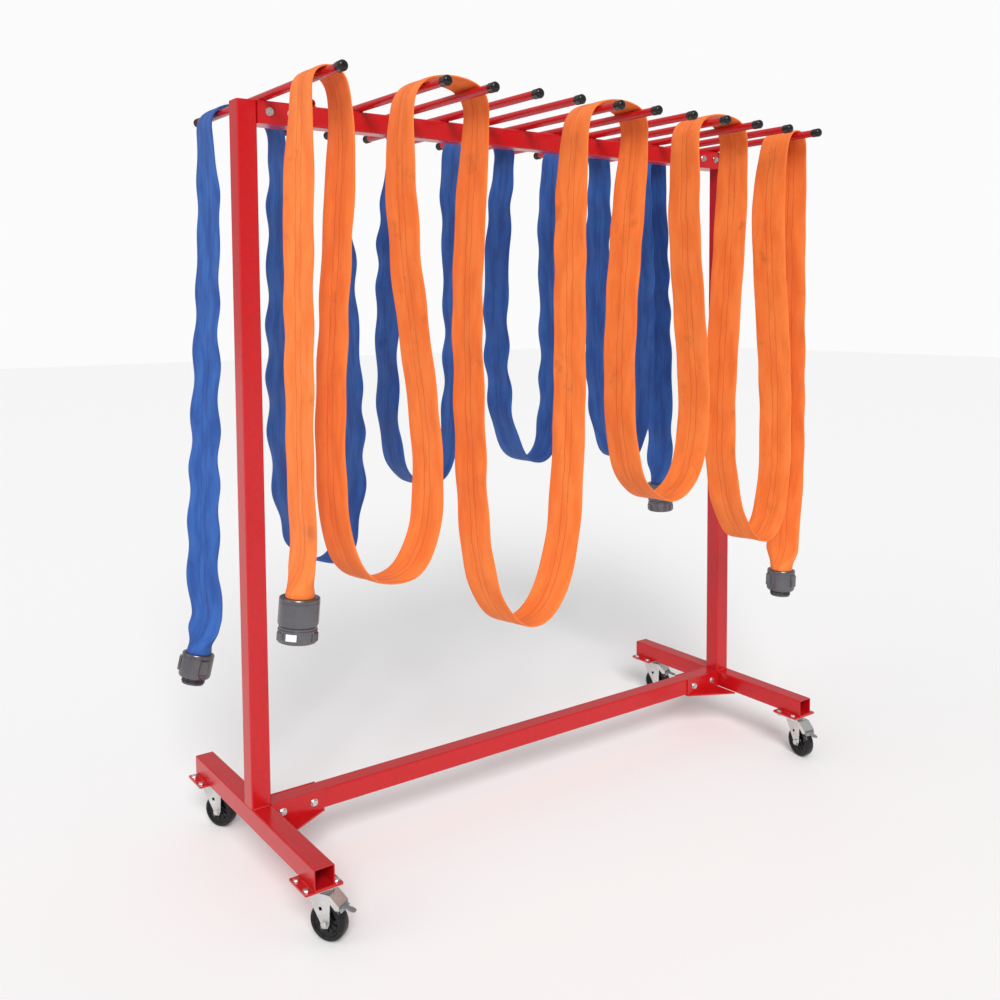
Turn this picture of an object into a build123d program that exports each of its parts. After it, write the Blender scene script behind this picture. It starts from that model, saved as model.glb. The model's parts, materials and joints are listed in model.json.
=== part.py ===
"""Rolling hose drying rack with two lay-flat fire hoses.

Frame: millimetres, +Z up, origin on the floor under the middle of the rack.
The main beam runs along X and the hose pegs run along Y, front pegs towards -Y.
"""
from build123d import *
import math
import os

os.makedirs("parts", exist_ok=True)

# ---- driving dimensions ----
TUBE = 63.5                       # square frame tube, 2.5 in
TUBE_WALL = 3.2
SPAN = 2083.0                     # between the centres of the two posts
LEG_LENGTH = 927.0
POST_HEIGHT = 2238.0              # floor-side of the leg tube to the top of the post

CASTOR_HEIGHT = 156.0
WHEEL_R = 57.0
WHEEL_WIDTH = 34.0
CASTOR_PLATE = (114.3, 101.6, 3.5)
CASTOR_HOLES = (92.1, 66.6)       # hole spacing along X and along Y
CASTOR_BOLT_R = 5.0
MOUNT_PLATE = (117.5, 109.0, 6.0)  # welded under each end of a leg

PEG_R = 13.0
PEG_WALL = 2.5
PEG_HALF = 535.0
PEG_COUNT = 13
PEG_INSET = 58.0                  # first peg from the centre of its post
STUB_PEG = 1                      # this peg stops on top of the beam and has no front cap
STUB_REACH = 12.0

BRACKET_T = 5.5
BRACKET_LENGTH = 180.0
GUSSET_REACH = 133.0              # along the leg from the crossbar's middle
FRAME_BOLT_R = 6.0
BASE_BOLTS = (68.0, 175.0)        # from the centre of the post
TOP_BOLTS = (70.0, 140.0)

HOSE_WIDTH = 120.0                # lay-flat width of a 3 in hose
HOSE_T = 8.0
HOSE_END_R = 42.0                 # opened round where it enters a coupling
HOSE_BORE_R = 38.1
HOSE_GRIP = 45.0                  # length of hose held inside a coupling
ORANGE_Y = -380.0
BLUE_Y = 370.0

# ---- derived places ----
LEG_BOTTOM = CASTOR_HEIGHT + MOUNT_PLATE[2]
LEG_TOP = LEG_BOTTOM + TUBE
LEG_AXIS_Z = LEG_BOTTOM + TUBE / 2
RACK_TOP = LEG_BOTTOM + POST_HEIGHT
BEAM_AXIS_Z = RACK_TOP - TUBE / 2
PEG_Z = RACK_TOP + PEG_R
POST_X = SPAN / 2
INNER_X = POST_X - TUBE / 2
CASTOR_Y = LEG_LENGTH / 2 - MOUNT_PLATE[1] / 2
PEG_PITCH = (SPAN - 2 * PEG_INSET) / (PEG_COUNT - 1)
PEG_X = [-POST_X + PEG_INSET + PEG_PITCH * number for number in range(PEG_COUNT)]
SIDES = {"left": -1, "right": 1}


def save(solid, name):
    """Label one finished piece and write its STEP file."""
    solid.label = name
    export_step(solid, f"parts/{name}.step")


# ---- frame tubes ----
with BuildSketch(Plane.XY) as tube_section:
    RectangleRounded(TUBE, TUBE, 5.0)
    RectangleRounded(TUBE - 2 * TUBE_WALL, TUBE - 2 * TUBE_WALL, 2.0, mode=Mode.SUBTRACT)


def bolt_circles(distances, axis_z, start_y, radius):
    """Circles for the bolts at both ends of a member that lies along X, facing -Y."""
    places = [(side * (POST_X - d), axis_z) for side in SIDES.values() for d in distances]
    with BuildSketch(Plane.XZ.offset(-start_y)) as circles:
        with Locations(*places):
            Circle(radius)
    return circles.sketch


def annulus(plane, outer, inner):
    """Flat ring on a plane."""
    with BuildSketch(plane) as flat_ring:
        Circle(outer)
        Circle(inner, mode=Mode.SUBTRACT)
    return flat_ring.sketch


for side_name, side in SIDES.items():
    with BuildPart() as leg:
        tube_end = Plane((side * POST_X, LEG_LENGTH / 2, LEG_AXIS_Z), x_dir=(1, 0, 0), z_dir=(0, -1, 0))
        extrude(tube_end * tube_section.sketch, amount=LEG_LENGTH)
        for end in (-1, 1):
            with BuildSketch(Plane.XY.offset(CASTOR_HEIGHT)):
                with Locations((side * POST_X, end * CASTOR_Y)):
                    RectangleRounded(MOUNT_PLATE[0], MOUNT_PLATE[1], 3.0)
                    with GridLocations(*CASTOR_HOLES, 2, 2):
                        Circle(CASTOR_BOLT_R + 0.5, mode=Mode.SUBTRACT)
            extrude(amount=MOUNT_PLATE[2])
    save(leg.part, f"{side_name}_leg")

    with BuildPart() as post:
        extrude(Plane((side * POST_X, 0, LEG_TOP)) * tube_section.sketch, amount=RACK_TOP - LEG_TOP)
        with BuildSketch(Plane.XY.offset(RACK_TOP - TUBE_WALL)):
            with Locations((side * POST_X, 0)):
                RectangleRounded(TUBE, TUBE, 5.0)
        extrude(amount=TUBE_WALL)
    save(post.part, f"{side_name}_post")

for member_name, axis_z, bolts in (("crossbar", LEG_AXIS_Z, BASE_BOLTS), ("top_beam", BEAM_AXIS_Z, TOP_BOLTS)):
    with BuildPart() as member:
        tube_end = Plane((-INNER_X, 0, axis_z), x_dir=(0, 1, 0), z_dir=(1, 0, 0))
        extrude(tube_end * tube_section.sketch, amount=2 * INNER_X)
        extrude(bolt_circles(bolts, axis_z, TUBE, FRAME_BOLT_R + 0.6), amount=2 * TUBE, mode=Mode.SUBTRACT)
    save(member.part, member_name)

# ---- bracket channels that bolt the crossbar and the beam to the posts ----
for side_name, side in SIDES.items():
    middle_x = side * (INNER_X - BRACKET_LENGTH / 2)
    for level, axis_z, bolts in (("base", LEG_AXIS_Z, BASE_BOLTS), ("top", BEAM_AXIS_Z, TOP_BOLTS)):
        with BuildPart() as bracket:
            for face in (-1, 1):
                with Locations((middle_x, face * (TUBE + BRACKET_T) / 2, axis_z - BRACKET_T / 2)):
                    Box(BRACKET_LENGTH, BRACKET_T, TUBE + BRACKET_T)
            with Locations((middle_x, 0, axis_z - (TUBE + BRACKET_T) / 2)):
                Box(BRACKET_LENGTH, TUBE + 2 * BRACKET_T, BRACKET_T)
            if level == "base":
                far_x = INNER_X - BRACKET_LENGTH
                edge_y = TUBE / 2 + BRACKET_T
                with BuildSketch(Plane.XY.offset(LEG_BOTTOM - BRACKET_T)):
                    with BuildLine():
                        Polyline(
                            (side * INNER_X, -GUSSET_REACH),
                            (side * INNER_X, GUSSET_REACH),
                            (side * far_x, edge_y),
                            (side * far_x, -edge_y),
                            close=True,
                        )
                    make_face()
                extrude(amount=BRACKET_T)
            extrude(bolt_circles(bolts, axis_z, TUBE, FRAME_BOLT_R + 0.6), amount=2 * TUBE, mode=Mode.SUBTRACT)
        save(bracket.part, f"{level}_bracket_{side_name}")

# ---- through bolts of the brackets ----
BOLT_HEAD_R = 10.5
BOLT_HEAD_T = 7.5
WASHER_R = 12.5
WASHER_T = 2.0
FACE_Y = TUBE / 2 + BRACKET_T

with BuildPart() as frame_bolts:
    for axis_z, bolts in ((LEG_AXIS_Z, BASE_BOLTS), (BEAM_AXIS_Z, TOP_BOLTS)):
        places = [(side * (POST_X - d), axis_z) for side in SIDES.values() for d in bolts]
        extrude(bolt_circles(bolts, axis_z, FACE_Y, FRAME_BOLT_R), amount=2 * FACE_Y + 1.0)
        for face_y in (FACE_Y + WASHER_T, -FACE_Y):
            extrude(bolt_circles(bolts, axis_z, face_y, WASHER_R), amount=WASHER_T)
        for face_y in (FACE_Y + WASHER_T + BOLT_HEAD_T, -FACE_Y - WASHER_T):
            with BuildSketch(Plane.XZ.offset(-face_y)):
                with Locations(*places):
                    RegularPolygon(BOLT_HEAD_R, 6)
            extrude(amount=BOLT_HEAD_T)
save(frame_bolts.part, "bracket_fasteners")

# ---- pegs and their end caps ----
CAP_R = 15.5
CAP_GRIP = 24.0
CAP_NOSE = 10.0

PEG_FRONT = [-STUB_REACH if number == STUB_PEG else -PEG_HALF for number in range(PEG_COUNT)]

for number, (peg_x, front) in enumerate(zip(PEG_X, PEG_FRONT)):
    with BuildPart() as peg:
        rear_end = Plane((peg_x, PEG_HALF, PEG_Z), x_dir=(1, 0, 0), z_dir=(0, -1, 0))
        extrude(annulus(rear_end, PEG_R, PEG_R - PEG_WALL), amount=PEG_HALF - front)
    save(peg.part, f"peg_{number + 1:02d}")

CAPPED = [(peg_x, PEG_HALF, 1) for peg_x in PEG_X]
CAPPED += [(peg_x, front, -1) for peg_x, front in zip(PEG_X, PEG_FRONT) if front == -PEG_HALF]

with BuildPart() as peg_caps:
    for peg_x, end_y, outward in CAPPED:
        rod_end = Plane((peg_x, end_y, PEG_Z), x_dir=(1, 0, 0), z_dir=(0, outward, 0))
        extrude(annulus(rod_end, CAP_R, PEG_R), amount=-CAP_GRIP)
        with BuildSketch(rod_end):
            Circle(CAP_R)
        extrude(amount=CAP_NOSE, taper=12)
save(peg_caps.part, "peg_caps")

# ---- castors, drawn at the origin with the wheel trailing along +X ----
TRAIL = 43.0
AXLE_Z = WHEEL_R
AXLE_R = 6.0
RUN = 0.05                        # radial clearance of a running fit
GAP = 0.3                         # between faces that turn past each other
RACE_R = 36.0
PLATE_UNDER = CASTOR_HEIGHT - CASTOR_PLATE[2]
RACE_DEPTH = 10.0
CROWN_TOP = PLATE_UNDER - RACE_DEPTH - GAP
CROWN_T = 4.0
KINGPIN_R = 8.0
LEG_INSIDE = 21.0
LEG_T = 3.5
HUB_R = 42.0
HUB_HALF = 18.0
PEDAL_X = 84.0
PEDAL_Z = 109.0
PEDAL_PIN_R = 3.0
SHOE_X = 92.0
SHOE_Z = 95.5

with BuildPart() as castor_plate:
    with BuildSketch(Plane.XY.offset(PLATE_UNDER)):
        RectangleRounded(CASTOR_PLATE[0], CASTOR_PLATE[1], 5.0)
        with GridLocations(*CASTOR_HOLES, 2, 2):
            Circle(CASTOR_BOLT_R + 0.5, mode=Mode.SUBTRACT)
    extrude(amount=CASTOR_PLATE[2])
    with BuildSketch(Plane.XY.offset(PLATE_UNDER - RACE_DEPTH)):
        Circle(RACE_R)
    extrude(amount=RACE_DEPTH)
    with BuildSketch(Plane.XY.offset(CROWN_TOP - CROWN_T - GAP)):
        Circle(KINGPIN_R)
    extrude(amount=CROWN_T + 3 * GAP)
    with BuildSketch(Plane.XY.offset(CROWN_TOP - CROWN_T - GAP - 5.0)):
        Circle(KINGPIN_R + 4.0)
    extrude(amount=5.0)

with BuildPart() as castor_fork:
    with BuildSketch(Plane.XY.offset(CROWN_TOP - CROWN_T)):
        Circle(RACE_R - 4.0)
        with Locations((TRAIL / 2, 0)):
            Rectangle(TRAIL + 26.0, 2 * (LEG_INSIDE + LEG_T))
        Circle(KINGPIN_R + RUN, mode=Mode.SUBTRACT)
    extrude(amount=CROWN_T)
    for cheek in (-LEG_INSIDE - LEG_T, LEG_INSIDE):
        with BuildSketch(Plane.XZ.offset(-cheek - LEG_T)):
            with BuildLine():
                Polyline(
                    (-13.0, CROWN_TOP),
                    (TRAIL + 16.0, CROWN_TOP),
                    (PEDAL_X + 6.0, PEDAL_Z + 7.0),
                    (PEDAL_X + 7.0, PEDAL_Z - 4.0),
                    (PEDAL_X - 6.0, PEDAL_Z - 6.0),
                    (TRAIL + 18.0, CROWN_TOP - 24.0),
                    (TRAIL + 15.0, AXLE_Z + 2.0),
                    (TRAIL + 8.0, AXLE_Z - 12.0),
                    (TRAIL - 8.0, AXLE_Z - 12.0),
                    (TRAIL - 15.0, AXLE_Z + 2.0),
                    (-13.0, CROWN_TOP - 14.0),
                    close=True,
                )
            make_face()
            with Locations((TRAIL - 14.0, AXLE_Z + 42.0)):
                Rectangle(10.0, 10.0, rotation=12, mode=Mode.SUBTRACT)
            with Locations((TRAIL, AXLE_Z)):
                Circle(AXLE_R, mode=Mode.SUBTRACT)
        extrude(amount=LEG_T)
    with BuildSketch(Plane.XZ.offset(-LEG_INSIDE)):
        with Locations((PEDAL_X, PEDAL_Z)):
            Circle(PEDAL_PIN_R)
    extrude(amount=2 * LEG_INSIDE)
    with BuildSketch(Plane.XZ.offset(-LEG_INSIDE)):
        with BuildLine():
            Polyline(
                (TRAIL + 13.0, CROWN_TOP - 3.0),
                (TRAIL + 13.0, CROWN_TOP),
                (TRAIL + 16.0, CROWN_TOP),
                (PEDAL_X + 6.0, PEDAL_Z + 7.0),
                (PEDAL_X + 3.5, PEDAL_Z + 6.0),
                close=True,
            )
        make_face()
    extrude(amount=2 * LEG_INSIDE)

with BuildPart() as wheel_hub:
    with BuildSketch(Plane.XZ.offset(-WHEEL_WIDTH / 2 + 3.0)):
        with Locations((TRAIL, AXLE_Z)):
            Circle(HUB_R)
    extrude(amount=WHEEL_WIDTH - 6.0)
    with BuildSketch(Plane.XZ.offset(-HUB_HALF)):
        with Locations((TRAIL, AXLE_Z)):
            Circle(13.0)
    extrude(amount=2 * HUB_HALF)
    with BuildSketch(Plane.XZ.offset(-HUB_HALF)):
        with Locations((TRAIL, AXLE_Z)):
            Circle(AXLE_R + RUN)
    extrude(amount=2 * HUB_HALF, mode=Mode.SUBTRACT)

with BuildPart() as wheel_tyre:
    with BuildSketch(Plane.XZ.offset(-WHEEL_WIDTH / 2)):
        with Locations((TRAIL, AXLE_Z)):
            Circle(WHEEL_R)
            Circle(HUB_R, mode=Mode.SUBTRACT)
    extrude(amount=WHEEL_WIDTH)
    chamfer(wheel_tyre.edges().filter_by(GeomType.CIRCLE).group_by(SortBy.RADIUS)[-1], 3.0)

with BuildPart() as wheel_axle:
    cheek_y = LEG_INSIDE + LEG_T
    with BuildSketch(Plane.XZ.offset(-cheek_y - 1.0)):
        with Locations((TRAIL, AXLE_Z)):
            Circle(AXLE_R)
    extrude(amount=2 * cheek_y + 2.0)
    for start in (-cheek_y - 7.0, cheek_y):
        with BuildSketch(Plane.XZ.offset(start)):
            with Locations((TRAIL, AXLE_Z)):
                RegularPolygon(10.5, 6)
        extrude(amount=7.0)

with BuildPart() as brake_pedal:
    half = LEG_INSIDE - 1.0
    with BuildSketch(Plane.XZ.offset(-half)):
        with Locations((PEDAL_X, PEDAL_Z)):
            Circle(PEDAL_PIN_R + 2.0)
        with BuildLine():
            Polyline(
                (PEDAL_X + 1.0, PEDAL_Z + 1.0),
                (PEDAL_X + 40.0, PEDAL_Z - 5.0),
                (PEDAL_X + 44.0, PEDAL_Z - 8.0),
                (PEDAL_X + 42.0, PEDAL_Z - 10.0),
                (SHOE_X + 8.0, PEDAL_Z - 5.0),
                (SHOE_X + 2.0, SHOE_Z),
                (SHOE_X - 1.5, SHOE_Z - 0.5),
                (PEDAL_X - 1.0, PEDAL_Z - 3.0),
                close=True,
            )
        make_face()
        with Locations((PEDAL_X, PEDAL_Z)):
            Circle(PEDAL_PIN_R + RUN, mode=Mode.SUBTRACT)
    extrude(amount=2 * half)

# heading of the trailing wheel, degrees from +X
CASTORS = {
    "front_left": (-POST_X, -CASTOR_Y, -60.0),
    "rear_left": (-POST_X, CASTOR_Y, -60.0),
    "front_right": (POST_X, -CASTOR_Y, -100.0),
    "rear_right": (POST_X, CASTOR_Y, -72.0),
}
SWIVELLING = {
    "fork": castor_fork,
    "hub": wheel_hub,
    "tyre": wheel_tyre,
    "axle": wheel_axle,
    "brake_pedal": brake_pedal,
}
for corner, (castor_x, castor_y, heading) in CASTORS.items():
    save(castor_plate.part.moved(Location((castor_x, castor_y, 0))), f"{corner}_plate")
    for piece_name, piece in SWIVELLING.items():
        placed = piece.part.moved(Location((castor_x, castor_y, 0), (0, 0, heading)))
        save(placed, f"{corner}_{piece_name}")

with BuildPart() as castor_bolts:
    under = PLATE_UNDER - 6.5
    for castor_x, castor_y, _ in CASTORS.values():
        for start, radius, sides, height in (
            (under - 1.0, CASTOR_BOLT_R, 0, LEG_BOTTOM - under + 2.0),
            (LEG_BOTTOM, 9.0, 6, 6.5),
            (under, 9.0, 6, 6.5),
        ):
            with BuildSketch(Plane.XY.offset(start)):
                with Locations((castor_x, castor_y)):
                    with GridLocations(*CASTOR_HOLES, 2, 2):
                        if sides:
                            RegularPolygon(radius, sides)
                        else:
                            Circle(radius)
            extrude(amount=height)
save(castor_bolts.part, "castor_fasteners")

# ---- hose routes: X and Z of the line along the middle of each flat hose ----
ARCH_LOW = RACK_TOP + 2 * PEG_R          # shoulder of a hose bridging two pegs
ARCH_HIGH = ARCH_LOW + 32.0
OVER = RACK_TOP + 2 * PEG_R + HOSE_T / 2 + 1.5

ORANGE_ROUTE = [
    (-1061, 975), (-1050, 1092), (-1047, 1124), (-1055, 1343), (-1050, 1713), (-1044, 2093), (-1034, 2303),
    (-1028, OVER), (-926, OVER),
    (-908, 2303), (-916, 2133), (-940, 1813), (-958, 1513), (-962, 1283), (-940, 1093), (-880, 998), (-790, 973),
    (-700, 1003), (-648, 1103), (-634, 1273), (-652, 1493), (-692, 1773), (-720, 2053), (-722, 2293),
    (-700, ARCH_LOW), (-574, ARCH_HIGH), (-448, ARCH_LOW),
    (-456, 2283), (-476, 2073), (-492, 1793), (-488, 1493), (-480, 1213), (-462, 973), (-400, 813), (-305, 751),
    (-205, 788), (-130, 933), (-98, 1173), (-86, 1493), (-84, 1813), (-80, 2093), (-68, 2303),
    (-44, ARCH_LOW), (82, ARCH_HIGH), (208, ARCH_LOW),
    (196, 2283), (168, 2073), (146, 1793), (130, 1513), (146, 1283), (205, 1138), (320, 1085),
    (430, 1128), (490, 1273), (500, 1483), (466, 1793), (440, 2073), (442, 2293),
    (447, ARCH_LOW), (573, ARCH_HIGH), (699, ARCH_LOW),
    (694, 2283), (682, 2073), (660, 1793), (634, 1463), (632, 1193), (690, 973), (790, 875),
    (890, 903), (940, 1073), (950, 1313), (930, 1633), (900, 1933), (890, 2153), (908, 2313),
    (938, OVER), (1028, OVER),
    (1026, 2303), (1018, 2113), (1022, 1813), (1028, 1413), (1026, 1093), (1000, 875), (992, 737),
]
BLUE_ROUTE = [
    (-1086, 619), (-1062, 716), (-1056, 740), (-1066, 840), (-1064, 943), (-1048, 1313), (-1030, 1753), (-1014, 2093), (-1020, 2293),
    (-1028, ARCH_LOW), (-902, ARCH_HIGH), (-776, ARCH_LOW),
    (-764, 2293), (-770, 2003), (-784, 1613), (-782, 1263), (-760, 1033), (-700, 893), (-610, 849),
    (-530, 913), (-496, 1093), (-492, 1333), (-508, 1693), (-524, 2033), (-530, 2293),
    (-536, ARCH_LOW), (-410, ARCH_HIGH), (-284, ARCH_LOW),
    (-296, 2293), (-326, 2073), (-342, 1773), (-348, 1473), (-336, 1253), (-280, 1123), (-205, 1099),
    (-110, 1143), (-62, 1283), (-44, 1493), (-40, 1793), (-46, 2073), (-56, 2293),
    (-44, ARCH_LOW), (82, ARCH_HIGH), (208, ARCH_LOW),
    (192, 2293), (166, 2073), (154, 1793), (158, 1513), (182, 1293), (250, 1163), (345, 1131),
    (408, 1193), (434, 1373), (440, 1653), (432, 1913), (428, 2133), (438, 2293),
    (447, ARCH_LOW), (573, ARCH_HIGH), (699, ARCH_LOW),
    (702, 2293), (692, 2073), (684, 1793), (690, 1513), (710, 1293), (764, 1143), (840, 1103),
    (905, 1173), (938, 1343), (956, 1633), (954, 1913), (940, 2133), (934, 2303),
    (940, OVER), (1030, OVER),
    (1026, 2293), (1032, 2073), (1044, 1773), (1064, 1413), (1062, 1210), (1064, 1096), (1066, 972),
]


def corner_radii(points):
    """Radius of the arc at each inner point: 0.45 of the shorter run over tan of half the turn."""
    radii = []
    for before, here, after in zip(points, points[1:], points[2:]):
        run_in = Vector(*here) - Vector(*before)
        run_out = Vector(*after) - Vector(*here)
        turn = math.radians(run_in.get_angle(run_out))
        radii.append(0.45 * min(run_in.length, run_out.length) / math.tan(turn / 2))
    return radii


def end_plane(points, y):
    """Plane at the last point, its z axis pointing out of the hose and its x axis along Y."""
    last = Vector(points[-1][0], y, points[-1][1])
    inner = Vector(points[-2][0], y, points[-2][1])
    return Plane(last, x_dir=(0, 1, 0), z_dir=last - inner)


def hose_end_sections(points, y):
    """Flat section, round section and thin ring that open the last run of a hose into a coupling."""
    mouth = end_plane(points, y)
    flat = mouth.offset(-(Vector(*points[-1]) - Vector(*points[-2])).length)
    with BuildSketch(flat) as flat_section:
        Rectangle(HOSE_WIDTH, HOSE_T)
    with BuildSketch(mouth) as round_section:
        Circle(HOSE_END_R)
    return flat_section.sketch, round_section.sketch, annulus(mouth, HOSE_END_R, HOSE_BORE_R + RUN)


ENDS = {}
for hose_name, route, hose_y in (("orange", ORANGE_ROUTE, ORANGE_Y), ("blue", BLUE_ROUTE, BLUE_Y)):
    flat_route = route[1:-1]
    radii = corner_radii(flat_route)
    with BuildPart() as hose:
        with BuildLine(Plane.XZ.offset(-hose_y)):
            middle = FilletPolyline(*flat_route, radius=radii)
        with BuildSketch(Plane(middle @ 0, x_dir=(0, 1, 0), z_dir=middle % 0)):
            Rectangle(HOSE_WIDTH, HOSE_T)
        sweep(path=middle)
        flat_volume = hose.part.volume
        for points in (route, route[::-1]):
            flat_section, round_section, grip_ring = hose_end_sections(points, hose_y)
            loft([flat_section, round_section])
            extrude(grip_ring, amount=HOSE_GRIP)
    ENDS[hose_name] = (end_plane(route[::-1], hose_y), end_plane(route, hose_y))
    save(hose.part, f"{hose_name}_hose")
    ends = sum((Vector(*b) - Vector(*a)).length for a, b in (route[:2], route[-2:]))
    print(hose_name, "hose: length", round(middle.length + ends + 2 * HOSE_GRIP),
          "section check", round(flat_volume / (middle.length * HOSE_WIDTH * HOSE_T), 4))
    print("  radii", [round(radius) for radius in radii])

# ---- couplings, drawn at the origin with the hose coming from -Z ----
FEMALE_BOWL_R = 57.0
MALE_BOWL_R = 53.0
BOWL_LENGTH = 80.0
WATERWAY_R = 33.0
THREAD_R = 38.95                  # outside of the male thread
THREAD_BORE_R = 39.2              # inside of the female thread
GASKET_SEAT_R = 41.0
NOSE_LENGTH = 23.0
TAIL_R = 46.0
TAIL_LENGTH = 18.0
SWIVEL_R = 56.0
SWIVEL_LENGTH = 45.0
LUG_REACH = 62.0
MALE_LUG_START = 16.0
MALE_LUG_LENGTH = 46.0
GASKET_T = 3.0


def bowl_profile(radius):
    """Half section of a bowl of the given outside radius, with the socket that grips the hose."""
    with BuildSketch(Plane.XZ) as profile:
        with BuildLine():
            Polyline(
                (WATERWAY_R, HOSE_GRIP + GAP), (WATERWAY_R, BOWL_LENGTH), (radius - 4.0, BOWL_LENGTH),
                (radius, BOWL_LENGTH - 4.0), (radius, 5.0), (radius - 3.0, 0.0),
                (HOSE_END_R + RUN, 0.0), (HOSE_END_R + RUN, HOSE_GRIP + GAP), close=True,
            )
        make_face()
    return profile.sketch


def lug_section(start, core_r):
    """Three rocker lugs round a core of the given radius, drawn at the given height."""
    with BuildSketch(Plane.XY.offset(start)) as lugs:
        with PolarLocations(LUG_REACH - 5.0, 3):
            RectangleRounded(10.0, 26.0, 3.0)
        Circle(core_r, mode=Mode.SUBTRACT)
    return lugs.sketch


with BuildPart() as male_coupling:
    revolve(bowl_profile(MALE_BOWL_R), axis=Axis.Z)
    extrude(lug_section(MALE_LUG_START, MALE_BOWL_R - 5.0), amount=MALE_LUG_LENGTH)
    extrude(annulus(Plane.XY.offset(BOWL_LENGTH), THREAD_R, WATERWAY_R), amount=NOSE_LENGTH)

with BuildPart() as female_bowl:
    revolve(bowl_profile(FEMALE_BOWL_R), axis=Axis.Z)
    extrude(annulus(Plane.XY.offset(BOWL_LENGTH), TAIL_R, WATERWAY_R), amount=TAIL_LENGTH)

SWIVEL_START = BOWL_LENGTH + GAP
SWIVEL_END = SWIVEL_START + SWIVEL_LENGTH
SEAT_START = SWIVEL_START + TAIL_LENGTH
THREAD_START = SEAT_START + GASKET_T + 2 * GAP

with BuildPart() as swivel:
    extrude(annulus(Plane.XY.offset(SWIVEL_START), SWIVEL_R - 4.0, TAIL_R + RUN), amount=TAIL_LENGTH)
    extrude(annulus(Plane.XY.offset(SEAT_START), SWIVEL_R - 4.0, GASKET_SEAT_R), amount=GASKET_T + 2 * GAP)
    extrude(annulus(Plane.XY.offset(THREAD_START), SWIVEL_R - 4.0, THREAD_BORE_R), amount=SWIVEL_END - THREAD_START)
    extrude(annulus(Plane.XY.offset(SWIVEL_START + 8.0), SWIVEL_R, SWIVEL_R - 5.0), amount=SWIVEL_LENGTH - 12.0)
    extrude(lug_section(SWIVEL_START + 12.0, SWIVEL_R - 5.0), amount=24.0)

with BuildPart() as gasket:
    gasket_seat = Plane.XY.offset(BOWL_LENGTH + TAIL_LENGTH)
    extrude(annulus(gasket_seat, GASKET_SEAT_R - GAP, WATERWAY_R - 1.0), amount=GASKET_T)

with BuildPart() as expansion_ring:
    extrude(annulus(Plane.XY.offset(0.5), HOSE_BORE_R, HOSE_BORE_R - 2.4), amount=HOSE_GRIP - 1.0)

orange_female, orange_male = ENDS["orange"]
blue_male, blue_female = ENDS["blue"]
for hose_name, female, male in (("orange", orange_female, orange_male), ("blue", blue_female, blue_male)):
    save(female_bowl.part.moved(female.location), f"{hose_name}_bowl")
    save(swivel.part.moved(female.location), f"{hose_name}_swivel")
    save(male_coupling.part.moved(male.location), f"{hose_name}_male")
    print(hose_name, "female mouth", female.origin, female.z_dir, "male", male.origin, male.z_dir)

females = (orange_female, blue_female)
save(Compound([gasket.part.moved(place.location) for place in females]), "swivel_gaskets")
places = (orange_female, orange_male, blue_female, blue_male)
save(Compound([expansion_ring.part.moved(place.location) for place in places]), "expansion_rings")
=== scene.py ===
"""Looks of the rolling hose rack and its two lay-flat hoses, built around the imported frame."""
import json
import logging
import math
from dataclasses import dataclass, field
from enum import Enum

import bmesh
import bpy
from mathutils import Matrix, Vector, noise


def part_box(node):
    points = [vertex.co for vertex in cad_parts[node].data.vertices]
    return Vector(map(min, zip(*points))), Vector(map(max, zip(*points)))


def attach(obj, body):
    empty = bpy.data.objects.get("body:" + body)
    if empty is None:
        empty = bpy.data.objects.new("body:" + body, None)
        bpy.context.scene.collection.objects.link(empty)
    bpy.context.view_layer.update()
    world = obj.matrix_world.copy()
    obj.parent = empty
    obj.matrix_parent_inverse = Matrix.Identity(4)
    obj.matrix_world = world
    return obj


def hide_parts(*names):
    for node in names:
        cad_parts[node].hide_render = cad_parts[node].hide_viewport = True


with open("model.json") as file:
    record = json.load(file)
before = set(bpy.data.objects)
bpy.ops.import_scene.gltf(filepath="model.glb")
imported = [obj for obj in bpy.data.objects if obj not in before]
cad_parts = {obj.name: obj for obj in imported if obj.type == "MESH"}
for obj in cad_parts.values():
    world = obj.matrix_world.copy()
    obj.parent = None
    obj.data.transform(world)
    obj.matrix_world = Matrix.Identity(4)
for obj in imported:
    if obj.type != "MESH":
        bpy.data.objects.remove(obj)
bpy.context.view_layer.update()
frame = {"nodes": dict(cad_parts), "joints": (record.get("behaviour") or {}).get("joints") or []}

LOG = logging.getLogger("hose_rack")

PEG_RADIUS = (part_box("peg_01")[1].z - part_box("peg_01")[0].z) / 2
PEG_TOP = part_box("peg_01")[1].z
HOSE_THICKNESS = 0.008
ARCH_LOW = PEG_TOP
ARCH_HIGH = ARCH_LOW + 0.032
PEG_CLEARANCE = 0.0015
OVER = PEG_TOP + HOSE_THICKNESS / 2 + PEG_CLEARANCE
STUB_FRONT = -0.1        # a peg whose front end lies behind this ends on the beam and has no front cap
SHARP_ANGLE = math.radians(35)
CORNERS = ("front_left", "rear_left", "front_right", "rear_right")
X_AXIS = Vector((1, 0, 0))
Z_AXIS = Vector((0, 0, 1))


class Hose(Enum):
    """The two hoses on the rack."""

    ORANGE = "orange"
    BLUE = "blue"


# --------------------------------------------------------------------------- node helpers


def link(tree: bpy.types.NodeTree, source: bpy.types.NodeSocket, target: bpy.types.NodeSocket) -> None:
    """Connect two sockets of one tree."""
    tree.links.new(source, target)


def new_node(tree: bpy.types.NodeTree, kind: str, **settings: object) -> bpy.types.Node:
    """Add a node and set its properties.

    Args:
        tree: the tree that takes the node.
        kind: the node's type name.
        settings: properties of the node, by name.

    Returns:
        The new node.
    """
    node = tree.nodes.new(kind)
    for name, value in settings.items():
        setattr(node, name, value)
    return node


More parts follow.
